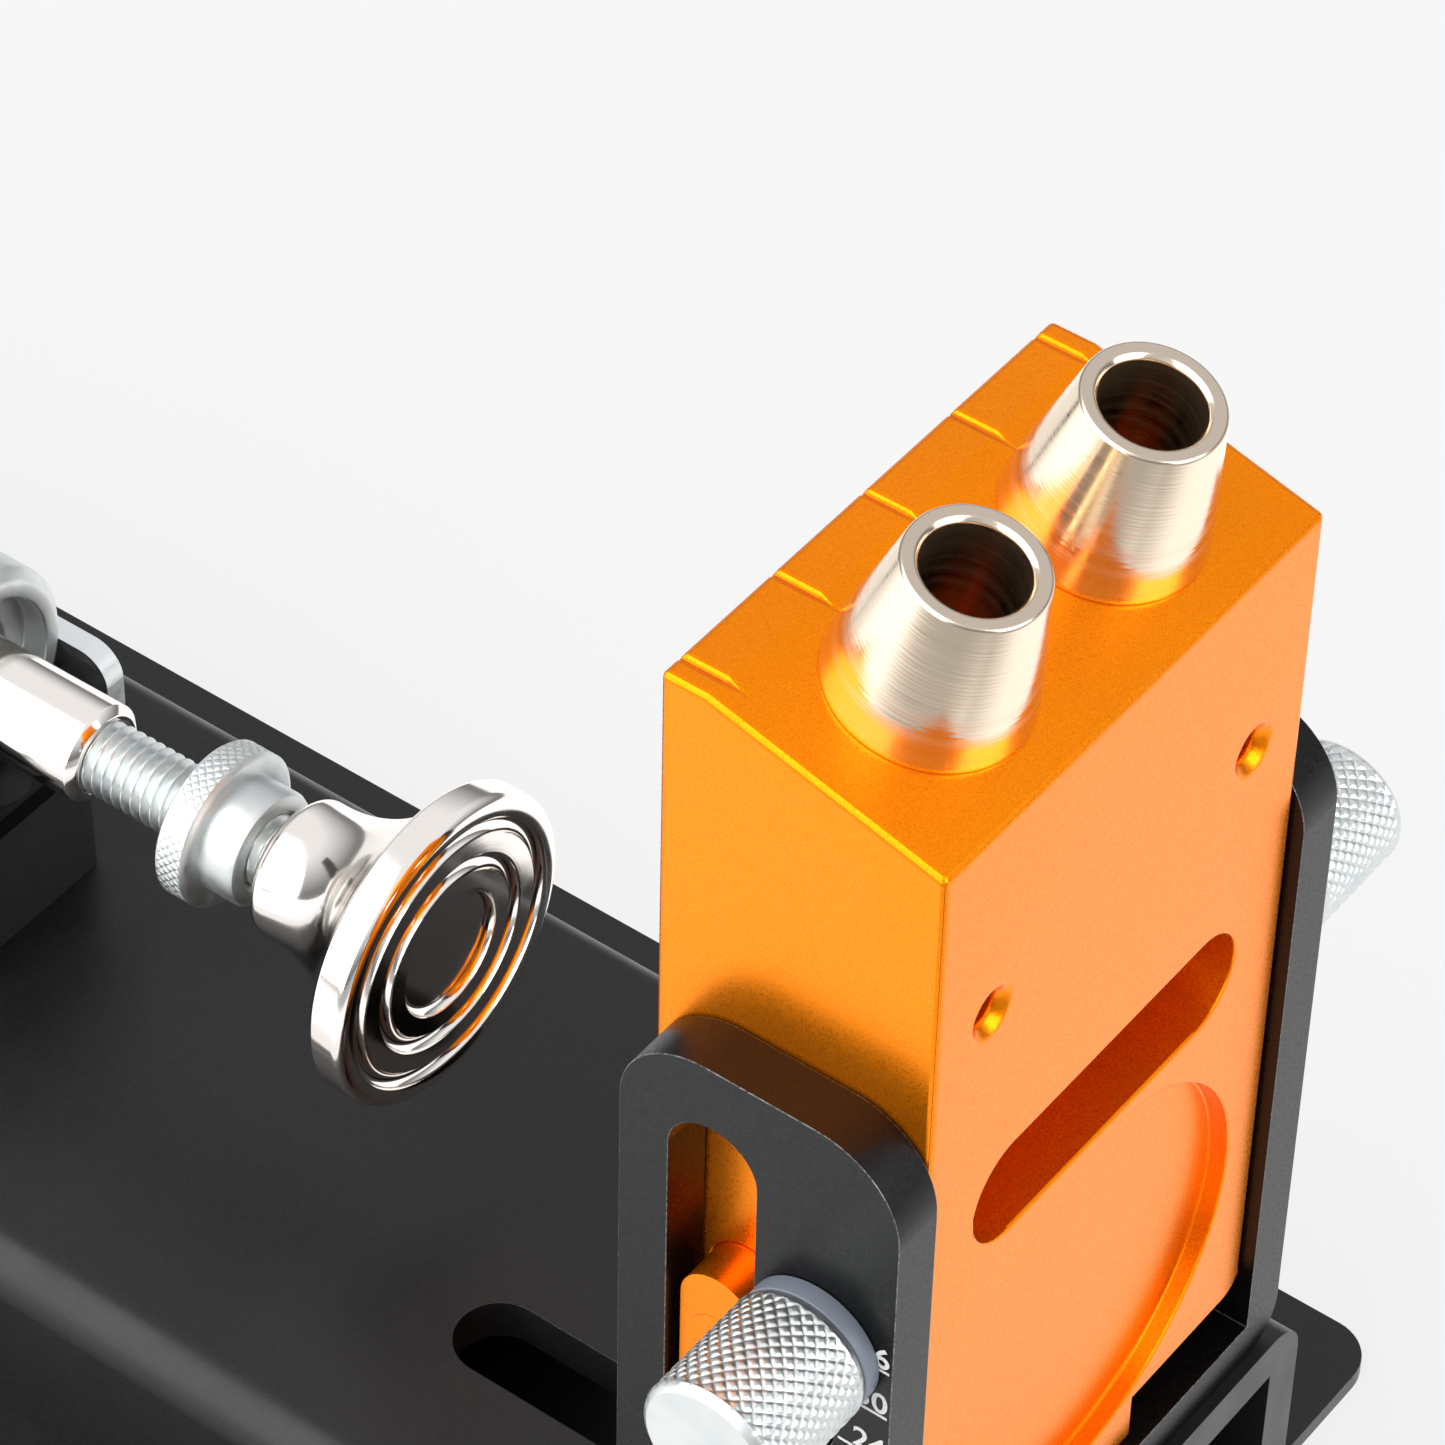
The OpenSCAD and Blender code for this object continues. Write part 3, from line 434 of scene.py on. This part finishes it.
# %% Scale lines
def scale_lines(name, out):
    """Flat boxes from an array of corners: each line is the unit box, scaled and moved to its level."""
    unit = np.array([(x, y, z) for z in (0, 1) for y in (0, 1) for x in (0, 1)], float)
    size = np.array([-LINE["length"], out * SCALE["proud"], LINE["thick"]]) * MM
    corner = np.array([bracket_high.x - LINE["inset"] * MM, outer_face(out), 0])
    lift = np.zeros((len(levels), 3))
    lift[:, 2] = (levels - LINE["thick"] / 2) * MM
    points = (unit * size + corner)[None] + lift[:, None]
    quads = np.array([(0, 2, 3, 1), (4, 5, 7, 6), (0, 1, 5, 4), (2, 6, 7, 3), (0, 4, 6, 2),
                      (1, 3, 7, 5)])
    if out > 0:
        quads = quads[:, ::-1]
    faces = quads[None] + len(unit) * np.arange(len(levels))[:, None, None]
    return make_piece(name, points.reshape(-1, 3), [faces.reshape(-1, 4)])


# %% Scale numbers
def number_mesh(text):
    """A number in Blender's own font as a closed mesh one unit tall: points and triangles, in rows."""
    curve = bpy.data.curves.new("number_curve", "FONT")
    curve.body = text
    curve.align_x = "RIGHT"
    curve.resolution_u = DIGIT["resolution"]
    curve.extrude = DIGIT["half_depth"]
    curve.offset = DIGIT["bold"]
    helper = bpy.data.objects.new("number_helper", curve)
    bpy.context.scene.collection.objects.link(helper)
    bpy.context.view_layer.update()
    solid = helper.to_mesh()
    solid.calc_loop_triangles()
    points = np.empty(len(solid.vertices) * 3)
    solid.vertices.foreach_get("co", points)
    triangles = np.empty(len(solid.loop_triangles) * 3, int)
    solid.loop_triangles.foreach_get("vertices", triangles)
    helper.to_mesh_clear()
    bpy.data.objects.remove(helper)
    bpy.data.curves.remove(curve)
    points = points.reshape(-1, 3)
    points[:, :2] /= points[:, 1].max()
    return points, triangles.reshape(-1, 3)


def scale_numbers(name, out):
    """Each number lies on an upright's outer face: width along X, height along Z, depth along Y.
    On the far side the width runs along -X, so it reads from there and its faces stay outwards."""
    rows, faces, used = [], [], 0
    right = bracket_high.x - DIGIT["inset"] * MM
    for i, level in enumerate(levels):
        points, triangles = number_mesh(str(SCALE["first"] - i * SCALE["step"]))
        wide, tall = (points[:, :2] * DIGIT["height"] * MM).T
        x = right + wide if out < 0 else right - (wide - wide.min())
        y = outer_face(out) + out * (points[:, 2] + DIGIT["half_depth"]) * SCALE["proud"] * MM
        z = (level + DIGIT["gap"]) * MM + tall
        rows.append(np.stack([x, y, z], 1))
        faces.append(triangles + used)
        used += len(points)
    return make_piece(name, np.concatenate(rows), faces)


marks = []
for side, out in SIDES.items():
    marks += [scale_lines("scale_lines_" + side, out), scale_numbers("scale_numbers_" + side, out)]
for mark in marks:
    fit(mark, "bracket", "black_alloy")
print("scale:", [len(mark.data.polygons) for mark in marks], "faces")

# %% [markdown]
# ## Softened edges on the sheet and the block
# No real edge is perfectly sharp: a small round on it catches the light, and that line is what
# makes a black bracket readable. The CAD meshes are loose triangles, so a Weld modifier joins
# them first and a Bevel modifier rounds what is sharper than a limit. The meshes stay untouched.
# A bevel is usually clamped, which holds it to the narrowest place of the whole piece. On the block
# those are the V marks, whose walls are 0.64 mm wide. Two rounds of 0.3 mm fit there, so the clamp
# can be off and the slot and the recess get their round as well.

# %% Edge rounding
EDGE = {"base_plate": 0.3, "channel_rail": 0.35, "block_bracket": 0.25, "drill_block": 0.3,
        "clamp_riser": 0.4, "clamp_frame": 0.3, "handle_lever": 0.3, "toggle_link_near": 0.2,
        "toggle_link_far": 0.2, "guide_key_near": 0.4, "guide_key_far": 0.4, "plunger": 0.15,
        "bracket_washers": 0.2, "bracket_bolts": 0.3, "riser_bolts": 0.3, "handle_pivot": 0.4,
        "plunger_pin": 0.3}
UNCLAMPED = {"drill_block"}
WELD_DISTANCE = 0.001 * MM
SAME_PLANE = math.radians(0.5)
BEVEL_FROM = math.radians(35)
BEVEL_SEGMENTS = 2


def soften(node, width):
    """Weld, join triangles of one plane, then round the edges over BEVEL_FROM. Normals are weighted
    by area at the end, so that flat faces stay flat."""
    stack = nodes[node].modifiers
    weld = stack.new("weld", "WELD")
    weld.merge_threshold = WELD_DISTANCE
    flat = stack.new("flat_faces", "DECIMATE")
    flat.decimate_type = "DISSOLVE"
    flat.angle_limit = SAME_PLANE
    bevel = stack.new("edge", "BEVEL")
    bevel.width = width * MM
    bevel.segments = BEVEL_SEGMENTS
    bevel.limit_method = "ANGLE"
    bevel.angle_limit = BEVEL_FROM
    bevel.harden_normals = False
    bevel.use_clamp_overlap = node not in UNCLAMPED
    stack.new("shading", "WEIGHTED_NORMAL").keep_sharp = True


for node, width in EDGE.items():
    soften(node, width)
print("edges eased on", len(EDGE), "nodes")

# %% [markdown]
# ## Making a finish
# A finish is a Principled shader plus small changes across the surface: grain in the colour, in
# the roughness and in the height. All of it reads Object coordinates, which are metres here, so
# a grain of 0.2 mm is a noise whose scale is 1 / 0.0002. What is the same all over a surface sits
# on the shader's own sockets.

# %% Materials and their nodes
def new_finish(name, colour, metallic, roughness, **sockets):
    """A material whose constants sit on the Principled shader's own sockets."""
    mat = bpy.data.materials.new(name)
    mat.use_nodes = True
    shader = mat.node_tree.nodes["Principled BSDF"]
    shader.inputs["Base Color"].default_value = (*colour, 1)
    shader.inputs["Metallic"].default_value = metallic
    shader.inputs["Roughness"].default_value = roughness
    for socket, value in sockets.items():
        shader.inputs[socket.replace("_", " ").title().replace("Ior", "IOR")].default_value = value
    return mat


def feed(mat, target, value):
    """Gives an input a value, or links it from another node's output."""
    if isinstance(value, bpy.types.NodeSocket):
        mat.node_tree.links.new(value, target)
    else:
        target.default_value = value


def add(mat, kind, **inputs):
    """A new node; inputs are values, or sockets to link from."""
    node = mat.node_tree.nodes.new(kind)
    for name, value in inputs.items():
        feed(mat, node.inputs[name.replace("_", " ")], value)
    return node


def maths(mat, operation, *terms):
    """One step of arithmetic on values or sockets."""
    node = mat.node_tree.nodes.new("ShaderNodeMath")
    node.operation = operation
    for target, value in zip(node.inputs, terms):
        feed(mat, target, value)
    return node.outputs["Value"]


def map_range(mat, value, source, target=(0, 1)):
    """Carries a value from one range to another and holds it at the ends."""
    node = add(mat, "ShaderNodeMapRange", Value=value, From_Min=source[0], From_Max=source[1],
               To_Min=target[0], To_Max=target[1])
    return node.outputs["Result"]


def put_on(mat, socket, value):
    """Links a node's output to one of the shader's sockets."""
    feed(mat, mat.node_tree.nodes["Principled BSDF"].inputs[socket], value)


# %% Patterns
NOISE_MIDDLE = (0.3, 0.7)
LATHE_DETAIL = 2.0


def object_point(mat, place=None):
    """Object coordinates in metres, or in the frame of place: p' = R^T p - R^T o."""
    point = add(mat, "ShaderNodeTexCoord").outputs["Object"]
    if place is None:
        return point
    back = place.inverted()
    return add(mat, "ShaderNodeMapping", Vector=point, Location=back.translation,
               Rotation=back.to_euler()).outputs["Vector"]


def grain(mat, size, detail=2.0):
    """Noise with lumps of about size millimetres."""
    point = object_point(mat)
    noise = add(mat, "ShaderNodeTexNoise", Vector=point, Scale=1 / (size * MM), Detail=detail)
    return noise.outputs["Fac"]


def lathe_lines(mat, place, pitch):
    """One-dimensional noise along (radius + height) in a turned piece's own frame: fine tool marks."""
    split = add(mat, "ShaderNodeSeparateXYZ", Vector=object_point(mat, place)).outputs
    flat = add(mat, "ShaderNodeCombineXYZ", X=split["X"], Y=split["Y"]).outputs["Vector"]
    radius = add(mat, "ShaderNodeVectorMath", Vector=flat)
    radius.operation = "LENGTH"
    noise = add(mat, "ShaderNodeTexNoise", Scale=1 / (pitch * MM), Detail=LATHE_DETAIL)
    noise.noise_dimensions = "1D"
    feed(mat, noise.inputs["W"], maths(mat, "ADD", radius.outputs["Value"], split["Z"]))
    return noise.outputs["Fac"]


def from_height(mat, place, low, high):
    """0 below one height and 1 above another, in millimetres along a turned piece's own axis."""
    height = add(mat, "ShaderNodeSeparateXYZ", Vector=object_point(mat, place)).outputs["Z"]
    return map_range(mat, height, (low * MM, high * MM))


print("a grain of 0.2 mm is a noise of scale", round(1 / (0.2 * MM)))

# %% Patterns on a finish
def between(mat, fac, low, high):
    """Spreads the middle of a noise over low to high."""
    return map_range(mat, fac, NOISE_MIDDLE, (low, high))


def two_tone(mat, fac, first, second):
    """The base colour goes from one tone to another as a factor passes the middle of its range."""
    ramp = add(mat, "ShaderNodeValToRGB", Fac=fac)
    for stop, position, tone in zip(ramp.color_ramp.elements, NOISE_MIDDLE, (first, second)):
        stop.position = position
        stop.color = (*tone, 1)
    put_on(mat, "Base Color", ramp.outputs["Color"])


def relief_of(mat, *layers):
    """Stacks bumps: each layer is (height, depth in millimetres)."""
    normal = None
    for height, depth in layers:
        bump = add(mat, "ShaderNodeBump", Height=height, Distance=depth * MM)
        if normal is not None:
            feed(mat, bump.inputs["Normal"], normal)
        normal = bump.outputs["Normal"]
    put_on(mat, "Normal", normal)


def coat_with(mat, *pieces):
    """Gives whole pieces, or CAD nodes by name, one material."""
    for piece in pieces:
        mesh = (nodes[piece] if isinstance(piece, str) else piece).data
        mesh.materials.clear()
        mesh.materials.append(mat)
    print("finish", mat.name, "on pieces:", len(pieces))


def edge_finish(mat, *names):
    """The faces that a node's Bevel modifier makes take a second material."""
    for name in names:
        nodes[name].data.materials.append(mat)
        nodes[name].modifiers["edge"].material = 1
    print("finish", mat.name, "on edges of nodes:", len(names))


# %% [markdown]
# ## Bead-blasted orange
# The block is aluminium, blasted with glass beads and dyed orange in the anodising bath. The dye
# sits in a clear oxide layer over metal, so the shader is mostly a coloured metal, with a little of
# a plain dyed surface in it. The blasting leaves a fine sparkle, which is a noise in height with
# lumps of a fifth of a millimetre.

# %% Orange anodise
orange = new_finish("orange_bead_blast", (0.97, 0.24, 0.001), 0.86, 0.3, specular_ior_level=0.2)
two_tone(orange, grain(orange, 0.2), (0.90, 0.21, 0.001), (1.0, 0.28, 0.002))
put_on(orange, "Roughness", between(orange, grain(orange, 0.3), 0.25, 0.36))
relief_of(orange, (grain(orange, 0.2, 1.0), 0.005), (grain(orange, 0.6), 0.004))
coat_with(orange, "drill_block", "guide_key_near", "guide_key_far", "key_screws")

# %% [markdown]
# ## Four blacks
# The plate and the rail have a satin black coat. The bracket is aluminium, dyed black in the
# anodising bath, so it is deeper and mirrors the orange block. The rounded edges of all three
# carry a painted highlight: a lighter grey for the light they catch. The riser is matt, and the
# grip is moulded with a coarse grain.
# A pure black looks like a hole, so each has grain in its gloss and height, and the first two in
# their colour as well.

# %% Satin coat and anodised bracket
satin = new_finish("satin_black_paint", (0.008, 0.008, 0.008), 0.0, 0.36, specular_ior_level=0.35)
two_tone(satin, grain(satin, 0.35), (0.006, 0.006, 0.006), (0.011, 0.011, 0.011))
put_on(satin, "Roughness", between(satin, grain(satin, 6.0, 4.0), 0.33, 0.42))
relief_of(satin, (grain(satin, 0.25, 1.0), 0.006), (grain(satin, 2.5), 0.01))
coat_with(satin, "base_plate", "channel_rail", "frame_screws")

dyed = new_finish("black_anodise", (0.002, 0.002, 0.002), 0.0, 0.32, specular_ior_level=0.22)
two_tone(dyed, grain(dyed, 0.3), (0.001, 0.001, 0.001), (0.004, 0.004, 0.004))
put_on(dyed, "Roughness", between(dyed, grain(dyed, 0.4, 3.0), 0.26, 0.4))
relief_of(dyed, (grain(dyed, 0.2, 1.0), 0.008))
coat_with(dyed, "block_bracket")

# Painted highlight: the faces that the edge bevels make take a lighter, grainy grey.
painted_edge_highlight = new_finish("painted_highlight_black_edge", (0.11, 0.11, 0.115), 0.6, 0.3)
two_tone(painted_edge_highlight, grain(painted_edge_highlight, 0.4), (0.03, 0.03, 0.03), (0.2, 0.2, 0.21))
edge_finish(painted_edge_highlight, "base_plate", "channel_rail", "block_bracket")

# %% Riser and grip
matt = new_finish("matt_black_riser", (0.028, 0.028, 0.028), 0.0, 0.6, specular_ior_level=0.3)
put_on(matt, "Roughness", between(matt, grain(matt, 1.5), 0.55, 0.68))
relief_of(matt, (grain(matt, 0.4, 1.0), 0.01))
coat_with(matt, "clamp_riser")

grip = new_finish("moulded_black_grip", (0.02, 0.02, 0.021), 0.0, 0.55, specular_ior_level=0.45)
put_on(grip, "Roughness", between(grip, grain(grip, 1.5), 0.5, 0.62))
relief_of(grip, (grain(grip, 0.7, 1.0), 0.05))
coat_with(grip, "handle_grip")

# %% [markdown]
# ## Nickel, chrome and zinc
# Three platings look like three metals. Nickel on the bushes is warm and shows the lathe's fine
# lines, with a darker lip round its mouth. The pad is polished until it mirrors the block, and
# zinc is bluish and a little cloudy. Each bush has a material of its own, because the lines run
# round its own axis.

# %% Nickel bushes
WARM_NICKEL, DARK_LIP = (0.92, 0.77, 0.60), (0.62, 0.52, 0.42)
for side, bush in bushes.items():
    nickel = new_finish("turned_nickel_" + side, WARM_NICKEL, 1.0, 0.2)
    place = bush_place("drill_bush_" + side)
    put_on(nickel, "Roughness", between(nickel, lathe_lines(nickel, place, 0.9), 0.13, 0.24))
    relief_of(nickel, (lathe_lines(nickel, place, 0.25), 0.01))
    lip = from_height(nickel, place, BUSH["height"] - BUSH["lip"], BUSH["height"])
    two_tone(nickel, lip, WARM_NICKEL, DARK_LIP)
    coat_with(nickel, bush)

# %% Polished pad and zinc pieces
chrome = new_finish("polished_plate", (0.95, 0.89, 0.84), 1.0, 0.1)
put_on(chrome, "Roughness", between(chrome, grain(chrome, 4.0), 0.08, 0.14))
relief_of(chrome, (lathe_lines(chrome, axle_place("clamp_pad"), 0.5), 0.0012))
coat_with(chrome, pad, "plunger")

zinc = new_finish("bright_zinc", (0.63, 0.66, 0.65), 1.0, 0.4)
two_tone(zinc, grain(zinc, 5.0, 4.0), (0.59, 0.63, 0.64), (0.68, 0.70, 0.68))
put_on(zinc, "Roughness", between(zinc, grain(zinc, 1.2, 3.0), 0.36, 0.46))
relief_of(zinc, (grain(zinc, 0.6), 0.002))
coat_with(zinc, nut, spindle, barrel, *knobs.values(), "rail_screws", "bracket_bolts",
          "bracket_washers", "riser_bolts", "plunger_pin", "toggle_link_near",
          "toggle_link_far", "link_pin", "handle_lever", "handle_pivot")

# %% [markdown]
# ## The saddle, the washers and the ink
# The saddle frame is zinc plated. Its floor between the cheeks, under the barrel, is painted near
# black as shade. A mask does that in one material: it is 1 where a point is both low and near the
# middle. The screws' washers look like grey nylon, and the scale is a pale ink with a little
# unevenness.

# %% Saddle frame
SADDLE_FLOOR = {"top": 44.3, "half_width": 13.2}
saddle = new_finish("zinc_saddle", (0.80, 0.83, 0.83), 1.0, 0.36)
spot = add(saddle, "ShaderNodeSeparateXYZ", Vector=object_point(saddle)).outputs
off_middle = maths(saddle, "ABSOLUTE", spot["Y"])
is_low = maths(saddle, "LESS_THAN", spot["Z"], SADDLE_FLOOR["top"] * MM)
is_inside = maths(saddle, "LESS_THAN", off_middle, SADDLE_FLOOR["half_width"] * MM)
painted_shade_mask = maths(saddle, "MULTIPLY", is_low, is_inside)
# Painted shade: the saddle's floor between the cheeks is near black.
two_tone(saddle, painted_shade_mask, (0.80, 0.83, 0.84), (0.03, 0.03, 0.033))
put_on(saddle, "Roughness", between(saddle, grain(saddle, 1.2, 3.0), 0.3, 0.42))
coat_with(saddle, "clamp_frame")

# %% Washers and ink
nylon = new_finish("grey_nylon", (0.17, 0.19, 0.23), 0.0, 0.4, specular_ior_level=0.4)
put_on(nylon, "Roughness", between(nylon, grain(nylon, 0.8), 0.34, 0.48))
coat_with(nylon, *washers.values())

ink = new_finish("pale_ink", (0.72, 0.72, 0.70), 0.0, 0.5)
two_tone(ink, grain(ink, 0.2), (0.62, 0.62, 0.60), (0.80, 0.80, 0.78))
coat_with(ink, *marks)

# %% [markdown]
# ## Camera
# The photograph was taken from above, at the block's rear corner, with a long lens. The eye, the
# target, the roll and the focal length were solved from the block's straight edges, so the render
# lines up with it. A camera looks along its own -Z, so its matrix has right, up and back as columns.

# %% Camera
EYE = Vector((310.5, -325.48, 499.42)) * MM
TARGET = Vector((78.08, -4.75, 112.3)) * MM
ROLL = math.radians(1.37)
LENS, SENSOR = 157.39, 36
NEAREST = 0.01
back = (EYE - TARGET).normalized()
right = Vector((0, 0, 1)).cross(back).normalized()
level_view = Matrix((right, back.cross(right), back)).transposed()
rolled_view = level_view @ Matrix.Rotation(ROLL, 3, "Z")
camera = bpy.data.objects.new("camera", bpy.data.cameras.new("camera"))
camera.data.lens = LENS
camera.data.sensor_width = SENSOR
camera.data.clip_start = NEAREST
camera.matrix_world = Matrix.Translation(EYE) @ rolled_view.to_4x4()
bpy.context.scene.collection.objects.link(camera)
bpy.context.scene.camera = camera
print("camera at", [round(v, 3) for v in EYE])

# %% [markdown]
# ## The floor
# A pale sheet. It is self-lit for the camera and for mirrors, so it stays an even near-white, and a
# share of plain paint keeps the object's shadow. Metal shows what it mirrors more than its own
# colour, so the floor that mirrors see isn't even. It is brighter at the block's end and on the far
# side, as near a window, brighter still on the near side, and dark in front, as towards an unlit
# room. The camera sees none of these zones.

# %% Floor
PALE = 0.92
FLOOR = {"half": 4.0, "level": -0.00005, "grey": 0.86, "plain_share": 0.16}
WINDOW = {"towards": (0.63, 0.78, 0), "from": -0.02, "to": 0.08, "low": 1.05, "high": 1.4}
ROOM = {"towards": (0.71, -0.71, 0), "from": 0.16, "to": 0.28, "low": 1.0, "high": 0.2}
GLARE = {"towards": (0, -1, 0), "from": 0.08, "to": 0.105, "low": 1.0, "high": 1.65}


def studio_floor():
    """A square sheet under the object, as a grid of two by two points."""
    ends = (-FLOOR["half"], FLOOR["half"])
    points = np.array([(x, y, FLOOR["level"]) for y in ends for x in ends])
    floor = make_piece("floor", points, [np.array([(0, 1, 3, 2)])])
    return floor


def floor_zone(mat, zone):
    """Runs from low to high as the floor's point goes from one distance to another along a direction."""
    along = add(mat, "ShaderNodeVectorMath", Vector=object_point(mat))
    along.operation = "DOT_PRODUCT"
    along.inputs[1].default_value = zone["towards"]
    return map_range(mat, along.outputs["Value"], (zone["from"], zone["to"]), (zone["low"], zone["high"]))


floor_paint = bpy.data.materials.new("floor_paint")
floor_paint.use_nodes = True
paint_nodes = floor_paint.node_tree.nodes
paint_nodes.remove(paint_nodes["Principled BSDF"])
ray = add(floor_paint, "ShaderNodeLightPath").outputs
seen = maths(floor_paint, "MAXIMUM", ray["Is Camera Ray"], ray["Is Glossy Ray"])
glow_share = maths(floor_paint, "MULTIPLY", seen, 1 - FLOOR["plain_share"])
mirrored = floor_zone(floor_paint, WINDOW)
for zone in (ROOM, GLARE):
    mirrored = maths(floor_paint, "MULTIPLY", mirrored, floor_zone(floor_paint, zone))
glow_level = map_range(floor_paint, ray["Is Camera Ray"], (0, 1), (mirrored, 1.0))
paint = add(floor_paint, "ShaderNodeBsdfDiffuse", Color=(*[FLOOR["grey"]] * 3, 1))
glow = add(floor_paint, "ShaderNodeEmission", Color=(PALE, PALE, PALE, 1), Strength=glow_level)
mix = add(floor_paint, "ShaderNodeMixShader", Fac=glow_share)
feed(floor_paint, mix.inputs[1], paint.outputs["BSDF"])
feed(floor_paint, mix.inputs[2], glow.outputs["Emission"])
feed(floor_paint, paint_nodes["Material Output"].inputs["Surface"], mix.outputs["Shader"])
coat_with(floor_paint, studio_floor())

# %% [markdown]
# ## The sky and the lamps
# A soft sky lights the object from all round, and two large lamps give it a bright and a dim side.
# Mirrors see a sky that is grey at the horizon and pale overhead, which gives polished metal its
# dark bands. The camera sees the floor's own pale tone there, so low views show no horizon.

# %% Sky
SKY = {"tint": (0.97, 0.98, 1.0, 1), "light": 0.4, "horizon": 0.22, "overhead": 0.92,
       "rise": (0.1, 0.6)}
world = bpy.data.worlds.new("studio")
bpy.context.scene.world = world
world.use_nodes = True
background = world.node_tree.nodes["Background"]
background.inputs["Color"].default_value = SKY["tint"]
direction = add(world, "ShaderNodeTexCoord").outputs["Generated"]
upwards = add(world, "ShaderNodeSeparateXYZ", Vector=direction).outputs["Z"]
mirrored_sky = map_range(world, upwards, SKY["rise"], (SKY["horizon"], SKY["overhead"]))
ray = add(world, "ShaderNodeLightPath").outputs
unseen_sky = map_range(world, ray["Is Glossy Ray"], (0, 1), (SKY["light"], mirrored_sky))
sky_level = map_range(world, ray["Is Camera Ray"], (0, 1), (unseen_sky, PALE))
feed(world, background.inputs["Strength"], sky_level)
print("sky:", len(world.node_tree.nodes), "nodes")

# %% Lamps
AIM = Vector((0.06, 0, 0.09))
LAMPS = {"key_left": {"place": (-0.36, -0.96, 0.83), "size": 2.0, "watts": 36},
         "fill_right": {"place": (1.0, 0.1, 0.45), "size": 0.7, "watts": 6}}


def soft_lamp(name, place, size, watts):
    """A square area lamp that is turned to AIM."""
    light = bpy.data.lights.new(name, "AREA")
    light.size = size
    light.energy = watts
    lamp = bpy.data.objects.new(name, light)
    lamp.location = place
    lamp.rotation_euler = (Vector(place) - AIM).to_track_quat("Z", "Y").to_euler()
    bpy.context.scene.collection.objects.link(lamp)


for name, lamp in LAMPS.items():
    soft_lamp(name, **lamp)
bpy.context.scene.view_settings.view_transform = "Standard"
print("lamps:", list(LAMPS))
